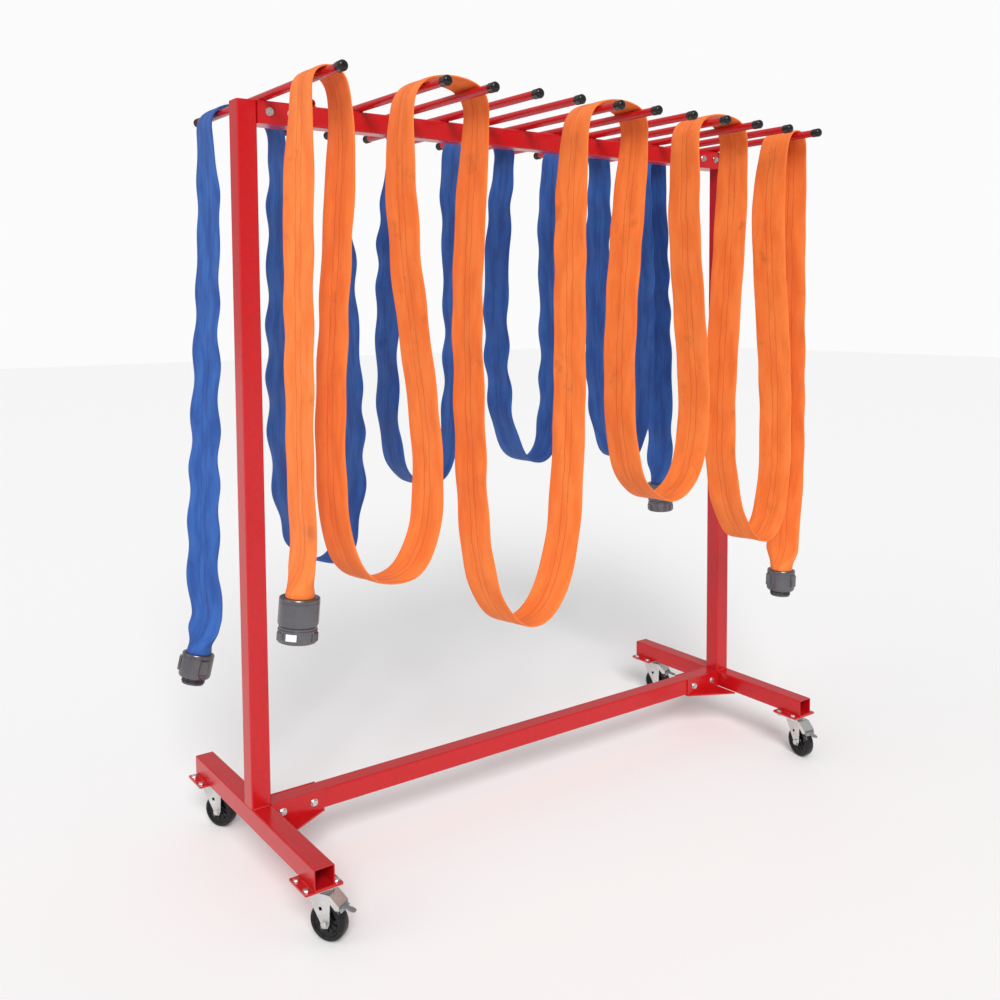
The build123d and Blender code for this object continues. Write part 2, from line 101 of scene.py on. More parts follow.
def math_node(tree: bpy.types.NodeTree, operation: str, *values: object) -> bpy.types.NodeSocket:
    """Add a Math node whose inputs are sockets or numbers.

    Args:
        tree: the tree that takes the node.
        operation: the Math node's operation.
        values: one socket or number for each input.

    Returns:
        The node's output.
    """
    node = new_node(tree, "ShaderNodeMath", operation=operation)
    for index, value in enumerate(values):
        if isinstance(value, bpy.types.NodeSocket):
            link(tree, value, node.inputs[index])
        else:
            node.inputs[index].default_value = value
    return node.outputs[0]


def mix_colour(
    tree: bpy.types.NodeTree,
    factor: bpy.types.NodeSocket,
    first: object,
    second: object,
) -> bpy.types.NodeSocket:
    """Mix two colours, each a socket or an RGBA tuple.

    Args:
        tree: the tree that takes the node.
        factor: how much of the second colour shows.
        first: the first colour.
        second: the second colour.

    Returns:
        The mixed colour.
    """
    node = new_node(tree, "ShaderNodeMix", data_type="RGBA")
    link(tree, factor, node.inputs[0])
    for socket, value in ((node.inputs[6], first), (node.inputs[7], second)):
        if isinstance(value, bpy.types.NodeSocket):
            link(tree, value, socket)
        else:
            socket.default_value = value
    return node.outputs[2]


def ramp(
    tree: bpy.types.NodeTree,
    value: bpy.types.NodeSocket,
    low: float,
    high: float,
    to_low: float = 0.0,
    to_high: float = 1.0,
) -> bpy.types.NodeSocket:
    """Map a value smoothly from one range to another.

    Args:
        tree: the tree that takes the node.
        value: the incoming value.
        low: value that gives to_low.
        high: value that gives to_high.
        to_low: result at low.
        to_high: result at high.

    Returns:
        The mapped value.
    """
    node = new_node(tree, "ShaderNodeMapRange", interpolation_type="SMOOTHSTEP")
    link(tree, value, node.inputs["Value"])
    node.inputs["From Min"].default_value = low
    node.inputs["From Max"].default_value = high
    node.inputs["To Min"].default_value = to_low
    node.inputs["To Max"].default_value = to_high
    return node.outputs["Result"]


def group_shell(name: str, inputs: dict[str, tuple[str, object]], outputs: dict[str, str]) -> tuple:
    """Make an empty shader node group.

    Args:
        name: the group's name.
        inputs: socket type and default value, by input name.
        outputs: socket type, by output name.

    Returns:
        The group, its input node and its output node.
    """
    group = bpy.data.node_groups.new(name, "ShaderNodeTree")
    for label, (kind, value) in inputs.items():
        socket = group.interface.new_socket(name=label, in_out="INPUT", socket_type=kind)
        socket.default_value = value
    for label, kind in outputs.items():
        group.interface.new_socket(name=label, in_out="OUTPUT", socket_type=kind)
    return group, group.nodes.new("NodeGroupInput"), group.nodes.new("NodeGroupOutput")


def noise_at(
    tree: bpy.types.NodeTree,
    vector: bpy.types.NodeSocket,
    scale: float,
    detail: float = 3.0,
    roughness: float = 0.55,
) -> bpy.types.NodeSocket:
    """Read noise at a vector.

    Args:
        tree: the tree that takes the node.
        vector: where the noise is read.
        scale: features per metre.
        detail: finer layers of noise.
        roughness: strength of the finer layers.

    Returns:
        The noise value.
    """
    node = new_node(tree, "ShaderNodeTexNoise")
    node.inputs["Scale"].default_value = scale
    node.inputs["Detail"].default_value = detail
    node.inputs["Roughness"].default_value = roughness
    link(tree, vector, node.inputs["Vector"])
    return node.outputs["Fac"]


FLOAT = "NodeSocketFloat"
COLOUR = "NodeSocketColor"


def build_dust_group() -> bpy.types.ShaderNodeTree:
    """Group that lays pale dust on faces that look up, in uneven patches.

    Returns:
        The group, with a Colour and a Mask output.
    """
    group, inside, out = group_shell(
        "settled_dust",
        {
            "Colour": (COLOUR, (0.5, 0.5, 0.5, 1.0)),
            "Dust": (COLOUR, (0.55, 0.5, 0.45, 1.0)),
            "Amount": (FLOAT, 0.2),
        },
        {"Colour": COLOUR, "Mask": FLOAT},
    )
    geometry = new_node(group, "ShaderNodeNewGeometry")
    split = new_node(group, "ShaderNodeSeparateXYZ")
    link(group, geometry.outputs["Normal"], split.inputs[0])
    upward = ramp(group, split.outputs["Z"], 0.3, 0.95)
    patches = ramp(group, noise_at(group, geometry.outputs["Position"], 14.0, 4.0), 0.35, 0.7, 0.35, 1.0)
    cover = math_node(group, "MULTIPLY", upward, patches)
    mask = math_node(group, "MULTIPLY", cover, inside.outputs["Amount"])
    dusty = mix_colour(group, mask, inside.outputs["Colour"], inside.outputs["Dust"])
    link(group, dusty, out.inputs["Colour"])
    link(group, mask, out.inputs["Mask"])
    return group


def build_wear_group() -> bpy.types.ShaderNodeTree:
    """Group that finds exposed edges and breaks them up with noise.

    Returns:
        The group, with a Mask output.
    """
    group, inside, out = group_shell(
        "edge_wear",
        {"Amount": (FLOAT, 0.5), "Scale": (FLOAT, 60.0)},
        {"Mask": FLOAT},
    )
    geometry = new_node(group, "ShaderNodeNewGeometry")
    edges = ramp(group, geometry.outputs["Pointiness"], 0.52, 0.62)
    texture = new_node(group, "ShaderNodeTexNoise")
    texture.inputs["Detail"].default_value = 5.0
    link(group, inside.outputs["Scale"], texture.inputs["Scale"])
    link(group, geometry.outputs["Position"], texture.inputs["Vector"])
    chips = ramp(group, texture.outputs["Fac"], 0.5, 0.62)
    mask = math_node(group, "MULTIPLY", math_node(group, "MULTIPLY", edges, chips), inside.outputs["Amount"])
    link(group, mask, out.inputs["Mask"])
    return group


def build_weave_group() -> bpy.types.ShaderNodeTree:
    """Group for a coated woven jacket: warp and weft ribs, slubs and long shade streaks along the hose.

    Returns:
        The group, with a Height, a Shade and a Slub output.
    """
    group, inside, out = group_shell(
        "jacket_weave",
        {"Warp": (FLOAT, 620.0), "Weft": (FLOAT, 420.0), "Streaks": (FLOAT, 0.5)},
        {"Height": FLOAT, "Shade": FLOAT, "Slub": FLOAT},
    )
    place = new_node(group, "ShaderNodeUVMap", uv_map="hose")
    split = new_node(group, "ShaderNodeSeparateXYZ")
    link(group, place.outputs["UV"], split.inputs[0])
    waves = []
    for axis, count in (("X", "Warp"), ("Y", "Weft")):
        cycles = math_node(group, "MULTIPLY", split.outputs[axis], inside.outputs[count])
        waves.append(math_node(group, "SINE", math_node(group, "MULTIPLY", cycles, 2 * math.pi)))
    warp, weft = waves
    ribs = math_node(group, "MULTIPLY", math_node(group, "MULTIPLY", warp, weft), 0.35)
    height = math_node(group, "ADD", ribs, math_node(group, "MULTIPLY", warp, 0.25))
    stretch = new_node(group, "ShaderNodeMapping")
    stretch.inputs["Scale"].default_value = (28.0, 6.0, 1.0)
    link(group, place.outputs["UV"], stretch.inputs["Vector"])
    streak = noise_at(group, stretch.outputs["Vector"], 1.0, 4.0)
    flecks = new_node(group, "ShaderNodeMapping")
    flecks.inputs["Scale"].default_value = (520.0, 160.0, 1.0)
    link(group, place.outputs["UV"], flecks.inputs["Vector"])
    slub = noise_at(group, flecks.outputs["Vector"], 1.0, 2.0)
    swing = ramp(group, streak, 0.3, 0.7, -1.0, 1.0)
    shade = math_node(group, "MULTIPLY", swing, inside.outputs["Streaks"])
    slubbed = math_node(group, "ADD", height, math_node(group, "MULTIPLY", slub, 0.8))
    link(group, slubbed, out.inputs["Height"])
    link(group, shade, out.inputs["Shade"])
    link(group, slub, out.inputs["Slub"])
    return group


class Effects:
    """The shared node groups, built once."""

    def __init__(self) -> None:
        """Build every shared group."""
        self.dust = build_dust_group()
        self.wear = build_wear_group()
        self.weave = build_weave_group()

    def place(self, tree: bpy.types.NodeTree, group: bpy.types.NodeTree, **values: object) -> bpy.types.Node:
        """Put a group in a material.

        Args:
            tree: the material's tree.
            group: the group to place.
            values: input values, by name.

        Returns:
            The group node.
        """
        node = tree.nodes.new("ShaderNodeGroup")
        node.node_tree = group
        for name, value in values.items():
            node.inputs[name].default_value = value
        return node


# --------------------------------------------------------------------------- finishes


@dataclass(frozen=True)
class HardFinish:
    """Painted, plated, moulded or machined surface.

    Attributes:
        name: the material's name.
        colour: its colour.
        roughness: its roughness.
        metallic: 1 for bare metal.
        wear_colour: what shows on worn edges.
        wear: how much of it shows.
        dust: dust on faces that look up.
        grain_scale: fine bumps per metre.
        grain_height: their height.
        wave_scale: broad bumps per metre.
        wave_height: their height.
        mottle: share that the colour varies by.
        specular: strength of the reflection.
        scuff: share that the roughness varies by.
    """

    name: str
    colour: tuple[float, float, float]
    roughness: float
    metallic: float = 0.0
    wear_colour: tuple[float, float, float] = (0.3, 0.3, 0.3)
    wear: float = 0.3
    dust: float = 0.12
    grain_scale: float = 900.0
    grain_height: float = 0.00002
    wave_scale: float = 35.0
    wave_height: float = 0.0
    mottle: float = 0.12
    specular: float = 0.5
    scuff: float = 0.18

    def build(self, effects: Effects) -> bpy.types.Material:
        """Make the material.

        Args:
            effects: the shared groups.

        Returns:
            The finished material.
        """
        material = bpy.data.materials.new(self.name)
        material.use_nodes = True
        tree = material.node_tree
        shader = tree.nodes["Principled BSDF"]
        shader.inputs["Metallic"].default_value = self.metallic
        shader.inputs["Specular IOR Level"].default_value = self.specular
        place = new_node(tree, "ShaderNodeTexCoord").outputs["Object"]
        mottle = noise_at(tree, place, 9.0, 5.0)
        light = tuple(min(1.0, c * (1 + self.mottle)) for c in self.colour) + (1.0,)
        dark = tuple(c * (1 - self.mottle) for c in self.colour) + (1.0,)
        body = mix_colour(tree, ramp(tree, mottle, 0.3, 0.7), dark, light)
        worn = effects.place(tree, effects.wear, Amount=self.wear, Scale=70.0)
        edged = mix_colour(tree, worn.outputs["Mask"], body, self.wear_colour + (1.0,))
        dusty = effects.place(tree, effects.dust, Amount=self.dust)
        link(tree, edged, dusty.inputs["Colour"])
        link(tree, dusty.outputs["Colour"], shader.inputs["Base Color"])
        scuffs = noise_at(tree, place, 55.0, 6.0, 0.65)
        smooth, rubbed = self.roughness * (1 - self.scuff), min(1.0, self.roughness * (1 + self.scuff))
        base = ramp(tree, scuffs, 0.35, 0.7, smooth, rubbed)
        rough = math_node(tree, "ADD", base, math_node(tree, "MULTIPLY", dusty.outputs["Mask"], 0.35))
        link(tree, rough, shader.inputs["Roughness"])
        grain = math_node(tree, "MULTIPLY", noise_at(tree, place, self.grain_scale, 2.0), self.grain_height)
        waves = math_node(tree, "MULTIPLY", noise_at(tree, place, self.wave_scale, 1.0), self.wave_height)
        bump = new_node(tree, "ShaderNodeBump")
        bump.inputs["Distance"].default_value = 1.0
        bump.inputs["Strength"].default_value = 1.0
        link(tree, math_node(tree, "ADD", grain, waves), bump.inputs["Height"])
        link(tree, bump.outputs["Normal"], shader.inputs["Normal"])
        return material


@dataclass(frozen=True)
class JacketFinish:
    """Coated woven hose jacket with two stitched guide lines along its middle.

    Attributes:
        name: the material's name.
        colour: the cloth's colour.
        shade: its darker streaks.
        line: the guide lines' colour.
        soil: the colour of dirt.
        soil_amount: how much of it shows.
        roughness: the cloth's roughness.
        line_strength: how clearly the guide lines show.
        line_offsets: places of the guide lines across the hose.
    """

    name: str
    colour: tuple[float, float, float]
    shade: tuple[float, float, float]
    line: tuple[float, float, float]
    soil: tuple[float, float, float]
    soil_amount: float
    roughness: float = 0.62
    line_strength: float = 0.5
    line_offsets: tuple[float, float] = (-0.012, 0.010)

    def build(self, effects: Effects) -> bpy.types.Material:
        """Make the material.

        Args:
            effects: the shared groups.

        Returns:
            The finished material.
        """
        material = bpy.data.materials.new(self.name)
        material.use_nodes = True
        tree = material.node_tree
        shader = tree.nodes["Principled BSDF"]
        shader.inputs["Specular IOR Level"].default_value = 0.25
        shader.inputs["Sheen Weight"].default_value = 0.04
        weave = effects.place(tree, effects.weave, Streaks=0.45)
        place = new_node(tree, "ShaderNodeUVMap", uv_map="hose")
        split = new_node(tree, "ShaderNodeSeparateXYZ")
        link(tree, place.outputs["UV"], split.inputs[0])
        shade = ramp(tree, weave.outputs["Shade"], -0.6, 0.6)
        cloth = mix_colour(tree, shade, self.shade + (1.0,), self.colour + (1.0,))
        fleck = ramp(tree, weave.outputs["Slub"], 0.62, 0.75, 0.0, 0.25)
        flecked = mix_colour(tree, fleck, cloth, self.shade + (1.0,))
        lines = self.guide_lines(tree, split.outputs["X"])
        faint = math_node(tree, "MULTIPLY", lines, self.line_strength)
        lined = mix_colour(tree, faint, flecked, self.line + (1.0,))
        object_place = new_node(tree, "ShaderNodeTexCoord").outputs["Object"]
        patches = ramp(tree, noise_at(tree, object_place, 7.5, 5.0, 0.6), 0.6, 0.76)
        specks = ramp(tree, noise_at(tree, object_place, 60.0, 3.0), 0.66, 0.74, 0.0, 0.5)
        soiled = math_node(tree, "MULTIPLY", math_node(tree, "MAXIMUM", patches, specks), self.soil_amount)
        link(tree, mix_colour(tree, soiled, lined, self.soil + (1.0,)), shader.inputs["Base Color"])
        rough = ramp(tree, weave.outputs["Slub"], 0.3, 0.7, self.roughness * 0.9, self.roughness * 1.15)
        link(tree, rough, shader.inputs["Roughness"])
        height = math_node(
            tree,
            "SUBTRACT",
            math_node(tree, "MULTIPLY", weave.outputs["Height"], 0.00016),
            math_node(tree, "MULTIPLY", lines, 0.0005),
        )
        bump = new_node(tree, "ShaderNodeBump")
        bump.inputs["Distance"].default_value = 1.0
        bump.inputs["Strength"].default_value = 0.9
        link(tree, height, bump.inputs["Height"])
        link(tree, bump.outputs["Normal"], shader.inputs["Normal"])
        return material

    def guide_lines(self, tree: bpy.types.NodeTree, across: bpy.types.NodeSocket) -> bpy.types.NodeSocket:
        """Mask of the two stitched lines.

        Args:
            tree: the jacket's tree.
            across: distance across the hose in metres.

        Returns:
            The mask, 1 on a line.
        """
        place = new_node(tree, "ShaderNodeTexCoord").outputs["Object"]
        wander = ramp(tree, noise_at(tree, place, 16.0, 2.0), 0.3, 0.7, -0.0022, 0.0022)
        wandering = math_node(tree, "ADD", across, wander)
        masks = []
        for offset in self.line_offsets:
            distance = math_node(tree, "ABSOLUTE", math_node(tree, "SUBTRACT", wandering, offset))
            masks.append(ramp(tree, distance, 0.0006, 0.0021, 1.0, 0.0))
        return math_node(tree, "MAXIMUM", *masks)


RED_POWDER_COAT = HardFinish(
    "red_powder_coat", (0.53, 0.005, 0.009), 0.24, wear_colour=(0.30, 0.008, 0.01), wear=0.2, dust=0.01,
    wave_height=0.00001, wave_scale=160.0, mottle=0.01, grain_height=0.000002, scuff=0.02,
)
BRIGHT_ZINC = HardFinish(
    "bright_zinc", (0.66, 0.66, 0.65), 0.30, metallic=1.0, wear_colour=(0.8, 0.8, 0.78), wear=0.5, dust=0.08,
    mottle=0.15,
)
BLACK_VINYL = HardFinish(
    "black_vinyl", (0.006, 0.006, 0.007), 0.20, specular=0.4, wear_colour=(0.08, 0.08, 0.08), wear=0.3,
    dust=0.05,
)
MOULDED_CORE = HardFinish(
    "moulded_core", (0.006, 0.006, 0.007), 0.20, specular=0.35, wear_colour=(0.06, 0.06, 0.06), wear=0.3,
    dust=0.04,
)
WORN_TREAD = HardFinish(
    "worn_tread", (0.007, 0.007, 0.008), 0.26, specular=0.35, wear_colour=(0.08, 0.08, 0.08), wear=0.4,
    dust=0.06, grain_scale=500.0, grain_height=0.00003,
)
COATED_PEDAL = HardFinish(
    "coated_pedal", (0.30, 0.31, 0.33), 0.4, metallic=0.6, wear_colour=(0.6, 0.6, 0.6), wear=0.5,
)
DARK_HARD_COAT = HardFinish(
    "dark_hard_coat", (0.150, 0.145, 0.158), 0.30, metallic=0.85, wear_colour=(0.40, 0.40, 0.42), wear=0.6,
    dust=0.05,
)
WHITE_STICKER = HardFinish("white_sticker", (0.80, 0.80, 0.79), 0.5, wear=0.0, dust=0.02)
RING_BRASS = HardFinish("ring_brass", (0.72, 0.52, 0.22), 0.3, metallic=1.0)
GASKET_BLACK = HardFinish("gasket_black", (0.02, 0.02, 0.02), 0.6)
ORANGE_JACKET = JacketFinish(
    "orange_jacket_cloth", colour=(0.92, 0.235, 0.048), shade=(0.84, 0.175, 0.030), line=(0.50, 0.075, 0.016),
    soil=(0.22, 0.05, 0.02), soil_amount=0.35,
)
BLUE_JACKET = JacketFinish(
    "blue_jacket_cloth", colour=(0.034, 0.125, 0.42), shade=(0.019, 0.072, 0.30), line=(0.008, 0.022, 0.11),
    soil=(0.01, 0.02, 0.09), soil_amount=0.4, line_strength=0.4,
)
FINISHES = (
    RED_POWDER_COAT, BRIGHT_ZINC, BLACK_VINYL, MOULDED_CORE, WORN_TREAD, COATED_PEDAL,
    DARK_HARD_COAT, WHITE_STICKER, RING_BRASS, GASKET_BLACK, ORANGE_JACKET, BLUE_JACKET,
)


# --------------------------------------------------------------------------- mesh helpers


def new_object(name: str, mesh: bpy.types.Mesh, material: bpy.types.Material) -> bpy.types.Object:
    """Link a mesh as a new object with one material, shaded smooth between its sharp edges.

    Args:
        name: the piece's name.
        mesh: its mesh.
        material: its finish.

    Returns:
        The new object.
    """
    piece = bpy.data.objects.new(name, mesh)
    bpy.context.scene.collection.objects.link(piece)
    mesh.materials.clear()
    mesh.materials.append(material)
    mesh.shade_smooth()
    mesh.set_sharp_from_angle(angle=SHARP_ANGLE)
    return piece


def lathe(
    maker: bmesh.types.BMesh,
    profile: list[tuple[float, float]],
    place: Matrix,
    steps: int = 48,
    wobble: object = None,
) -> None:
    """Turn a closed profile about the local Z axis.

    Args:
        maker: mesh under construction.
        profile: (radius, height) points in metres, closed by the last edge; radius 0 makes a pole.
        place: where the turned part goes.
        steps: facets round the axis.
        wobble: function of (radius, height, angle) that returns a new radius, or None.
    """
    rings = []
    for radius, height in profile:
        if radius <= 1e-7:
            rings.append([maker.verts.new(place @ Vector((0, 0, height)))])
            continue
        row = []
        for step in range(steps):
            angle = 2 * math.pi * step / steps
            reach = wobble(radius, height, angle) if wobble else radius
            spot = Vector((reach * math.cos(angle), reach * math.sin(angle), height))
            row.append(maker.verts.new(place @ spot))
        rings.append(row)
    closed = len(rings[0]) > 1 and len(rings[-1]) > 1
    pairs = list(zip(rings, rings[1:])) + ([(rings[-1], rings[0])] if closed else [])
    for low, high in pairs:
        for step in range(steps):
            after = (step + 1) % steps
            if len(low) == 1 and len(high) == 1:
                continue
            if len(low) == 1:
                maker.faces.new((low[0], high[after], high[step]))
            elif len(high) == 1:
                maker.faces.new((low[step], low[after], high[0]))
            else:
                maker.faces.new((low[step], low[after], high[after], high[step]))


def finish_mesh(maker: bmesh.types.BMesh, name: str) -> bpy.types.Mesh:
    """Turn a bmesh into a mesh with outward normals.

    Args:
        maker: mesh under construction, which is freed.
        name: the mesh's name.

    Returns:
        The mesh.
    """
    bmesh.ops.recalc_face_normals(maker, faces=maker.faces)
    mesh = bpy.data.meshes.new(name)
    maker.to_mesh(mesh)
    maker.free()
    return mesh


def axis_matrix(origin: Vector, direction: Vector, side: Vector = Vector((0, 1, 0))) -> Matrix:
    """Make a frame from its origin and its Z axis.

    Args:
        origin: where the frame stands.
        direction: its Z axis.
        side: direction that its X axis is nearest to.

    Returns:
        The frame.
    """
    z_axis = direction.normalized()
    x_axis = (side - z_axis * side.dot(z_axis)).normalized()
    y_axis = z_axis.cross(x_axis)
    return Matrix.Translation(origin) @ Matrix((x_axis, y_axis, z_axis)).transposed().to_4x4()


def smooth(share: float) -> float:
    """Ease a share from 0 to 1 at both ends."""
    return share * share * (3 - 2 * share)


def peg_names() -> list[str]:
    """Names of the peg nodes, in order."""
    return sorted(name for name in frame["nodes"] if name.startswith("peg_") and name != "peg_caps")


def find_joint(name: str) -> dict:
    """A joint of the frame, by name."""
    return next(joint for joint in frame["joints"] if joint["name"] == name)


def joint_place(name: str) -> Vector:
    """Where a joint stands at rest."""
    return Vector(find_joint(name)["pos_m"])


def slab(maker: bmesh.types.BMesh, place: Matrix, outline: list[tuple[float, float]], half: float) -> None:
    """Plate with an outline in the local XZ plane.

    Args:
        maker: mesh under construction.
        place: where the plate goes.
        outline: (x, z) points round the plate.
        half: half of its thickness along local Y.
    """
    near, far = ([maker.verts.new(place @ Vector((x, y, z))) for x, z in outline] for y in (-half, half))
    maker.faces.new(near)
    maker.faces.new(far[::-1])
    for index in range(len(outline)):
        after = (index + 1) % len(outline)
        maker.faces.new((near[index], far[index], far[after], near[after]))


def hex_bolt(
    maker: bmesh.types.BMesh,
    place: Matrix,
    across: float,
    height: float,
    stud: float = 0.0,
    stud_radius: float = 0.0,
) -> None:
    """Hexagon head or nut with a chamfered crown, standing on the local XY plane.

    Args:
        maker: mesh under construction.
        place: where the head stands.
        across: distance over the corners.
        height: height of the head.
        stud: length of thread that shows beyond it.
        stud_radius: radius of that thread.
    """
    crown = height * 0.82
    corner = across / 2

    def faceted(radius: float, level: float, angle: float) -> float:
        """Radius of a hexagon at an angle, rounded off towards the crown."""
        flat = corner * math.cos(math.pi / 6) / math.cos((angle % (math.pi / 3)) - math.pi / 6)
        return min(radius, flat)

    lathe(
        maker,
        [(0, 0), (corner, 0), (corner, crown), (corner * 0.87, height), (0, height)],
        place,
        steps=48,
        wobble=faceted,
    )
    washer = across * 0.62
    washer_top = height * 0.24
    ring = [(0, 0), (washer, 0), (washer, height * 0.2), (washer * 0.97, washer_top), (0, washer_top)]
    lathe(maker, ring, place)
    if stud:
        pitch = stud_radius * 0.3
        start = height * 0.9
        profile = [(0, start)]
        turns = int(stud / pitch)
        for turn in range(turns):
            level = start + turn * pitch
            profile += [(stud_radius * 0.88, level), (stud_radius, level + pitch / 2)]
        profile.append((0, start + turns * pitch))
        lathe(maker, profile, place, steps=20)


# --------------------------------------------------------------------------- hoses


@dataclass
class FlatHose:
    """A lay-flat hose: its route, its slight turns about its own line, and its mesh.

    Attributes:
        hose: which hose it is.
        line_y: the plane that its route lies in.
        route: control points (x, z) of its middle line.
        finish: the jacket's finish.
        length: length of the real hose. Not used.
        female_first: whether the route starts at the female coupling.
        wave: height of the waves across the jacket.
        wave_length: distance between them.
        lean: degrees that the jacket is turned about its line.
        sway: degrees that the lean drifts by.
        start_lean: further degrees at the start of the route.
        start_reach: length over which start_lean fades out.
        pressed: height under a peg's top where the jacket still lies flat.
        freed: further height over which it starts to hang freely.
        width: width of the flat jacket.
        round_radius: radius where it opens into a coupling.
        flare: length of that opening.
        spacing: distance between its rings.
        ring_points: points of one ring.
        seed: offset of its uneven parts.
        line: points along its middle, made by build.
    """

    hose: Hose
    line_y: float
    route: list[tuple[float, float]]
    finish: bpy.types.Material
    length: float
    female_first: bool
    wave: float = 0.0028
    wave_length: float = 0.20
    lean: float = 0.0
    sway: float = 7.0
    start_lean: float = 0.0
    start_reach: float = 1.5
    pressed: float = 0.03
    freed: float = 0.28
    width: float = 0.132
    round_radius: float = 0.0416
    flare: float = 0.085
    spacing: float = 0.012
    ring_points: int = 44
    seed: float = 0.0
    line: list[Vector] = field(default_factory=list)

    def follow(self) -> list[Vector]:
        """Read evenly spaced points from the route's smooth spline.

        Returns:
            Points along the middle of the hose.
        """
        data = bpy.data.curves.new(f"{self.hose.value}_route", "CURVE")
        data.dimensions = "3D"
        data.resolution_u = 24
        spline = data.splines.new("NURBS")
        spline.points.add(len(self.route) - 1)
        for point, (x, z) in zip(spline.points, self.route):
            point.co = (x, self.line_y, z, 1.0)
        spline.order_u = 3
        spline.use_endpoint_u = True
        holder = bpy.data.objects.new(data.name, data)
        mesh = bpy.data.meshes.new_from_object(holder)
        raw = [v.co.copy() for v in mesh.vertices]
        bpy.data.objects.remove(holder)
        bpy.data.curves.remove(data)
        bpy.data.meshes.remove(mesh)
        distances = [0.0]
        for before, after in zip(raw, raw[1:]):
            distances.append(distances[-1] + (after - before).length)
        count = int(distances[-1] / self.spacing)
        points = []
        index = 0
        for step in range(count + 1):
            target = distances[-1] * step / count
            while index < len(raw) - 2 and distances[index + 1] < target:
                index += 1
            span = distances[index + 1] - distances[index]
            share = (target - distances[index]) / span if span else 0.0
            points.append(raw[index].lerp(raw[index + 1], min(1.0, share)))
        return points

    def build(self) -> bpy.types.Object:
        """Sweep a soft flat oval along the line, opened round at both ends.

        Returns:
            The hose piece.
        """
        self.line = self.follow()
        total = sum((b - a).length for a, b in zip(self.line, self.line[1:]))
        maker = bmesh.new()
        uv_layer = maker.loops.layers.uv.new("hose")
        rings = []
        travelled = 0.0
        for index, point in enumerate(self.line):
            before = self.line[max(0, index - 1)]
            after = self.line[min(len(self.line) - 1, index + 1)]
            if index:
                travelled += (point - before).length
            rings.append(self.ring(maker, point, (after - before).normalized(), travelled, total))
        for low, high in zip(rings, rings[1:]):
            for step in range(self.ring_points):
                after = (step + 1) % self.ring_points
                face = maker.faces.new((low[step][0], low[after][0], high[after][0], high[step][0]))
                places = (low[step], low[after], high[after], high[step])
                for loop, (_, across, along) in zip(face.loops, places):
                    loop[uv_layer].uv = (across, along)
        for ring in (rings[0], rings[-1]):
            maker.faces.new([vertex for vertex, _, _ in ring])
        mesh = finish_mesh(maker, f"{self.hose.value}_hose_jacket")
        piece = new_object(f"{self.hose.value}_hose_jacket", mesh, self.finish)
        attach(piece, "root")
        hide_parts(f"{self.hose.value}_hose")
        return piece

    def ring(
        self, maker: bmesh.types.BMesh, point: Vector, ahead: Vector, travelled: float, total: float
    ) -> list:
        """One cross-section of the hose.

        Args:
            maker: mesh under construction.
            point: middle of the section.
            ahead: direction of the hose there.
            travelled: distance along the hose so far.
            total: length of the whole line.

        Returns:
            For each vertex, the vertex, its distance across and its distance along.
        """
        from_end = min(travelled, total - travelled)
        opened = smooth(1.0 - min(1.0, from_end / self.flare))
        flat = 1 - opened
        clear = smooth(min(1.0, max(0.0, (ARCH_LOW - self.pressed - point.z) / self.freed))) * flat
        drift = noise.noise(Vector((travelled * 0.8, self.seed, 0.0)))
        start = max(0.0, 1 - travelled / self.start_reach)
        lean = self.lean + self.sway * drift + self.start_lean * smooth(start)
        twist = math.radians(lean) * clear * -ahead.z
        turn = Matrix.Rotation(twist, 3, ahead)
        across_axis = turn @ Vector((0, 1, 0))
        normal = turn @ ahead.cross(Vector((0, 1, 0))).normalized()
        half = self.width / 2 * flat + self.round_radius * opened
        thick = HOSE_THICKNESS / 2 * flat + self.round_radius * opened
        phase = 2 * math.pi * travelled / self.wave_length
        phase += 3 * noise.noise(Vector((travelled * 1.7, self.seed, 4.0)))
        swell = self.wave * clear * (0.75 + 0.9 * noise.noise(Vector((travelled * 2.6, self.seed + 7, 1.0))))
        row = []
        for step in range(self.ring_points):
            angle = 2 * math.pi * step / self.ring_points
            c, s = math.cos(angle), math.sin(angle)
            across = math.copysign(abs(c) ** (0.62 + 0.38 * opened), c)
            over = math.copysign(abs(s) ** (0.42 + 0.58 * opened), s)
            wave = swell * math.sin(phase + 0.7 * across) * (0.4 + 0.6 * across * across)
            crinkle = 0.0022 * clear * noise.noise(Vector((travelled * 11.0, across * 1.6, self.seed + 9)))
            stretch = 1 + 0.035 * flat * noise.noise(Vector((travelled * 3.0, self.seed + 5, across)))
            hollow = 1 - 0.25 * flat * (1 - abs(across)) ** 2
            outward = over * thick * hollow + wave + crinkle
            spot = point + across_axis * (across * half * stretch) + normal * outward
            row.append((maker.verts.new(spot), across * half, travelled))
        return row

    def declare(self, piece: bpy.types.Object, male: bpy.types.Object) -> None:
        """Does nothing.

        Args:
            piece: the jacket. Not used.
            male: the coupling at the far end. Not used.
        """


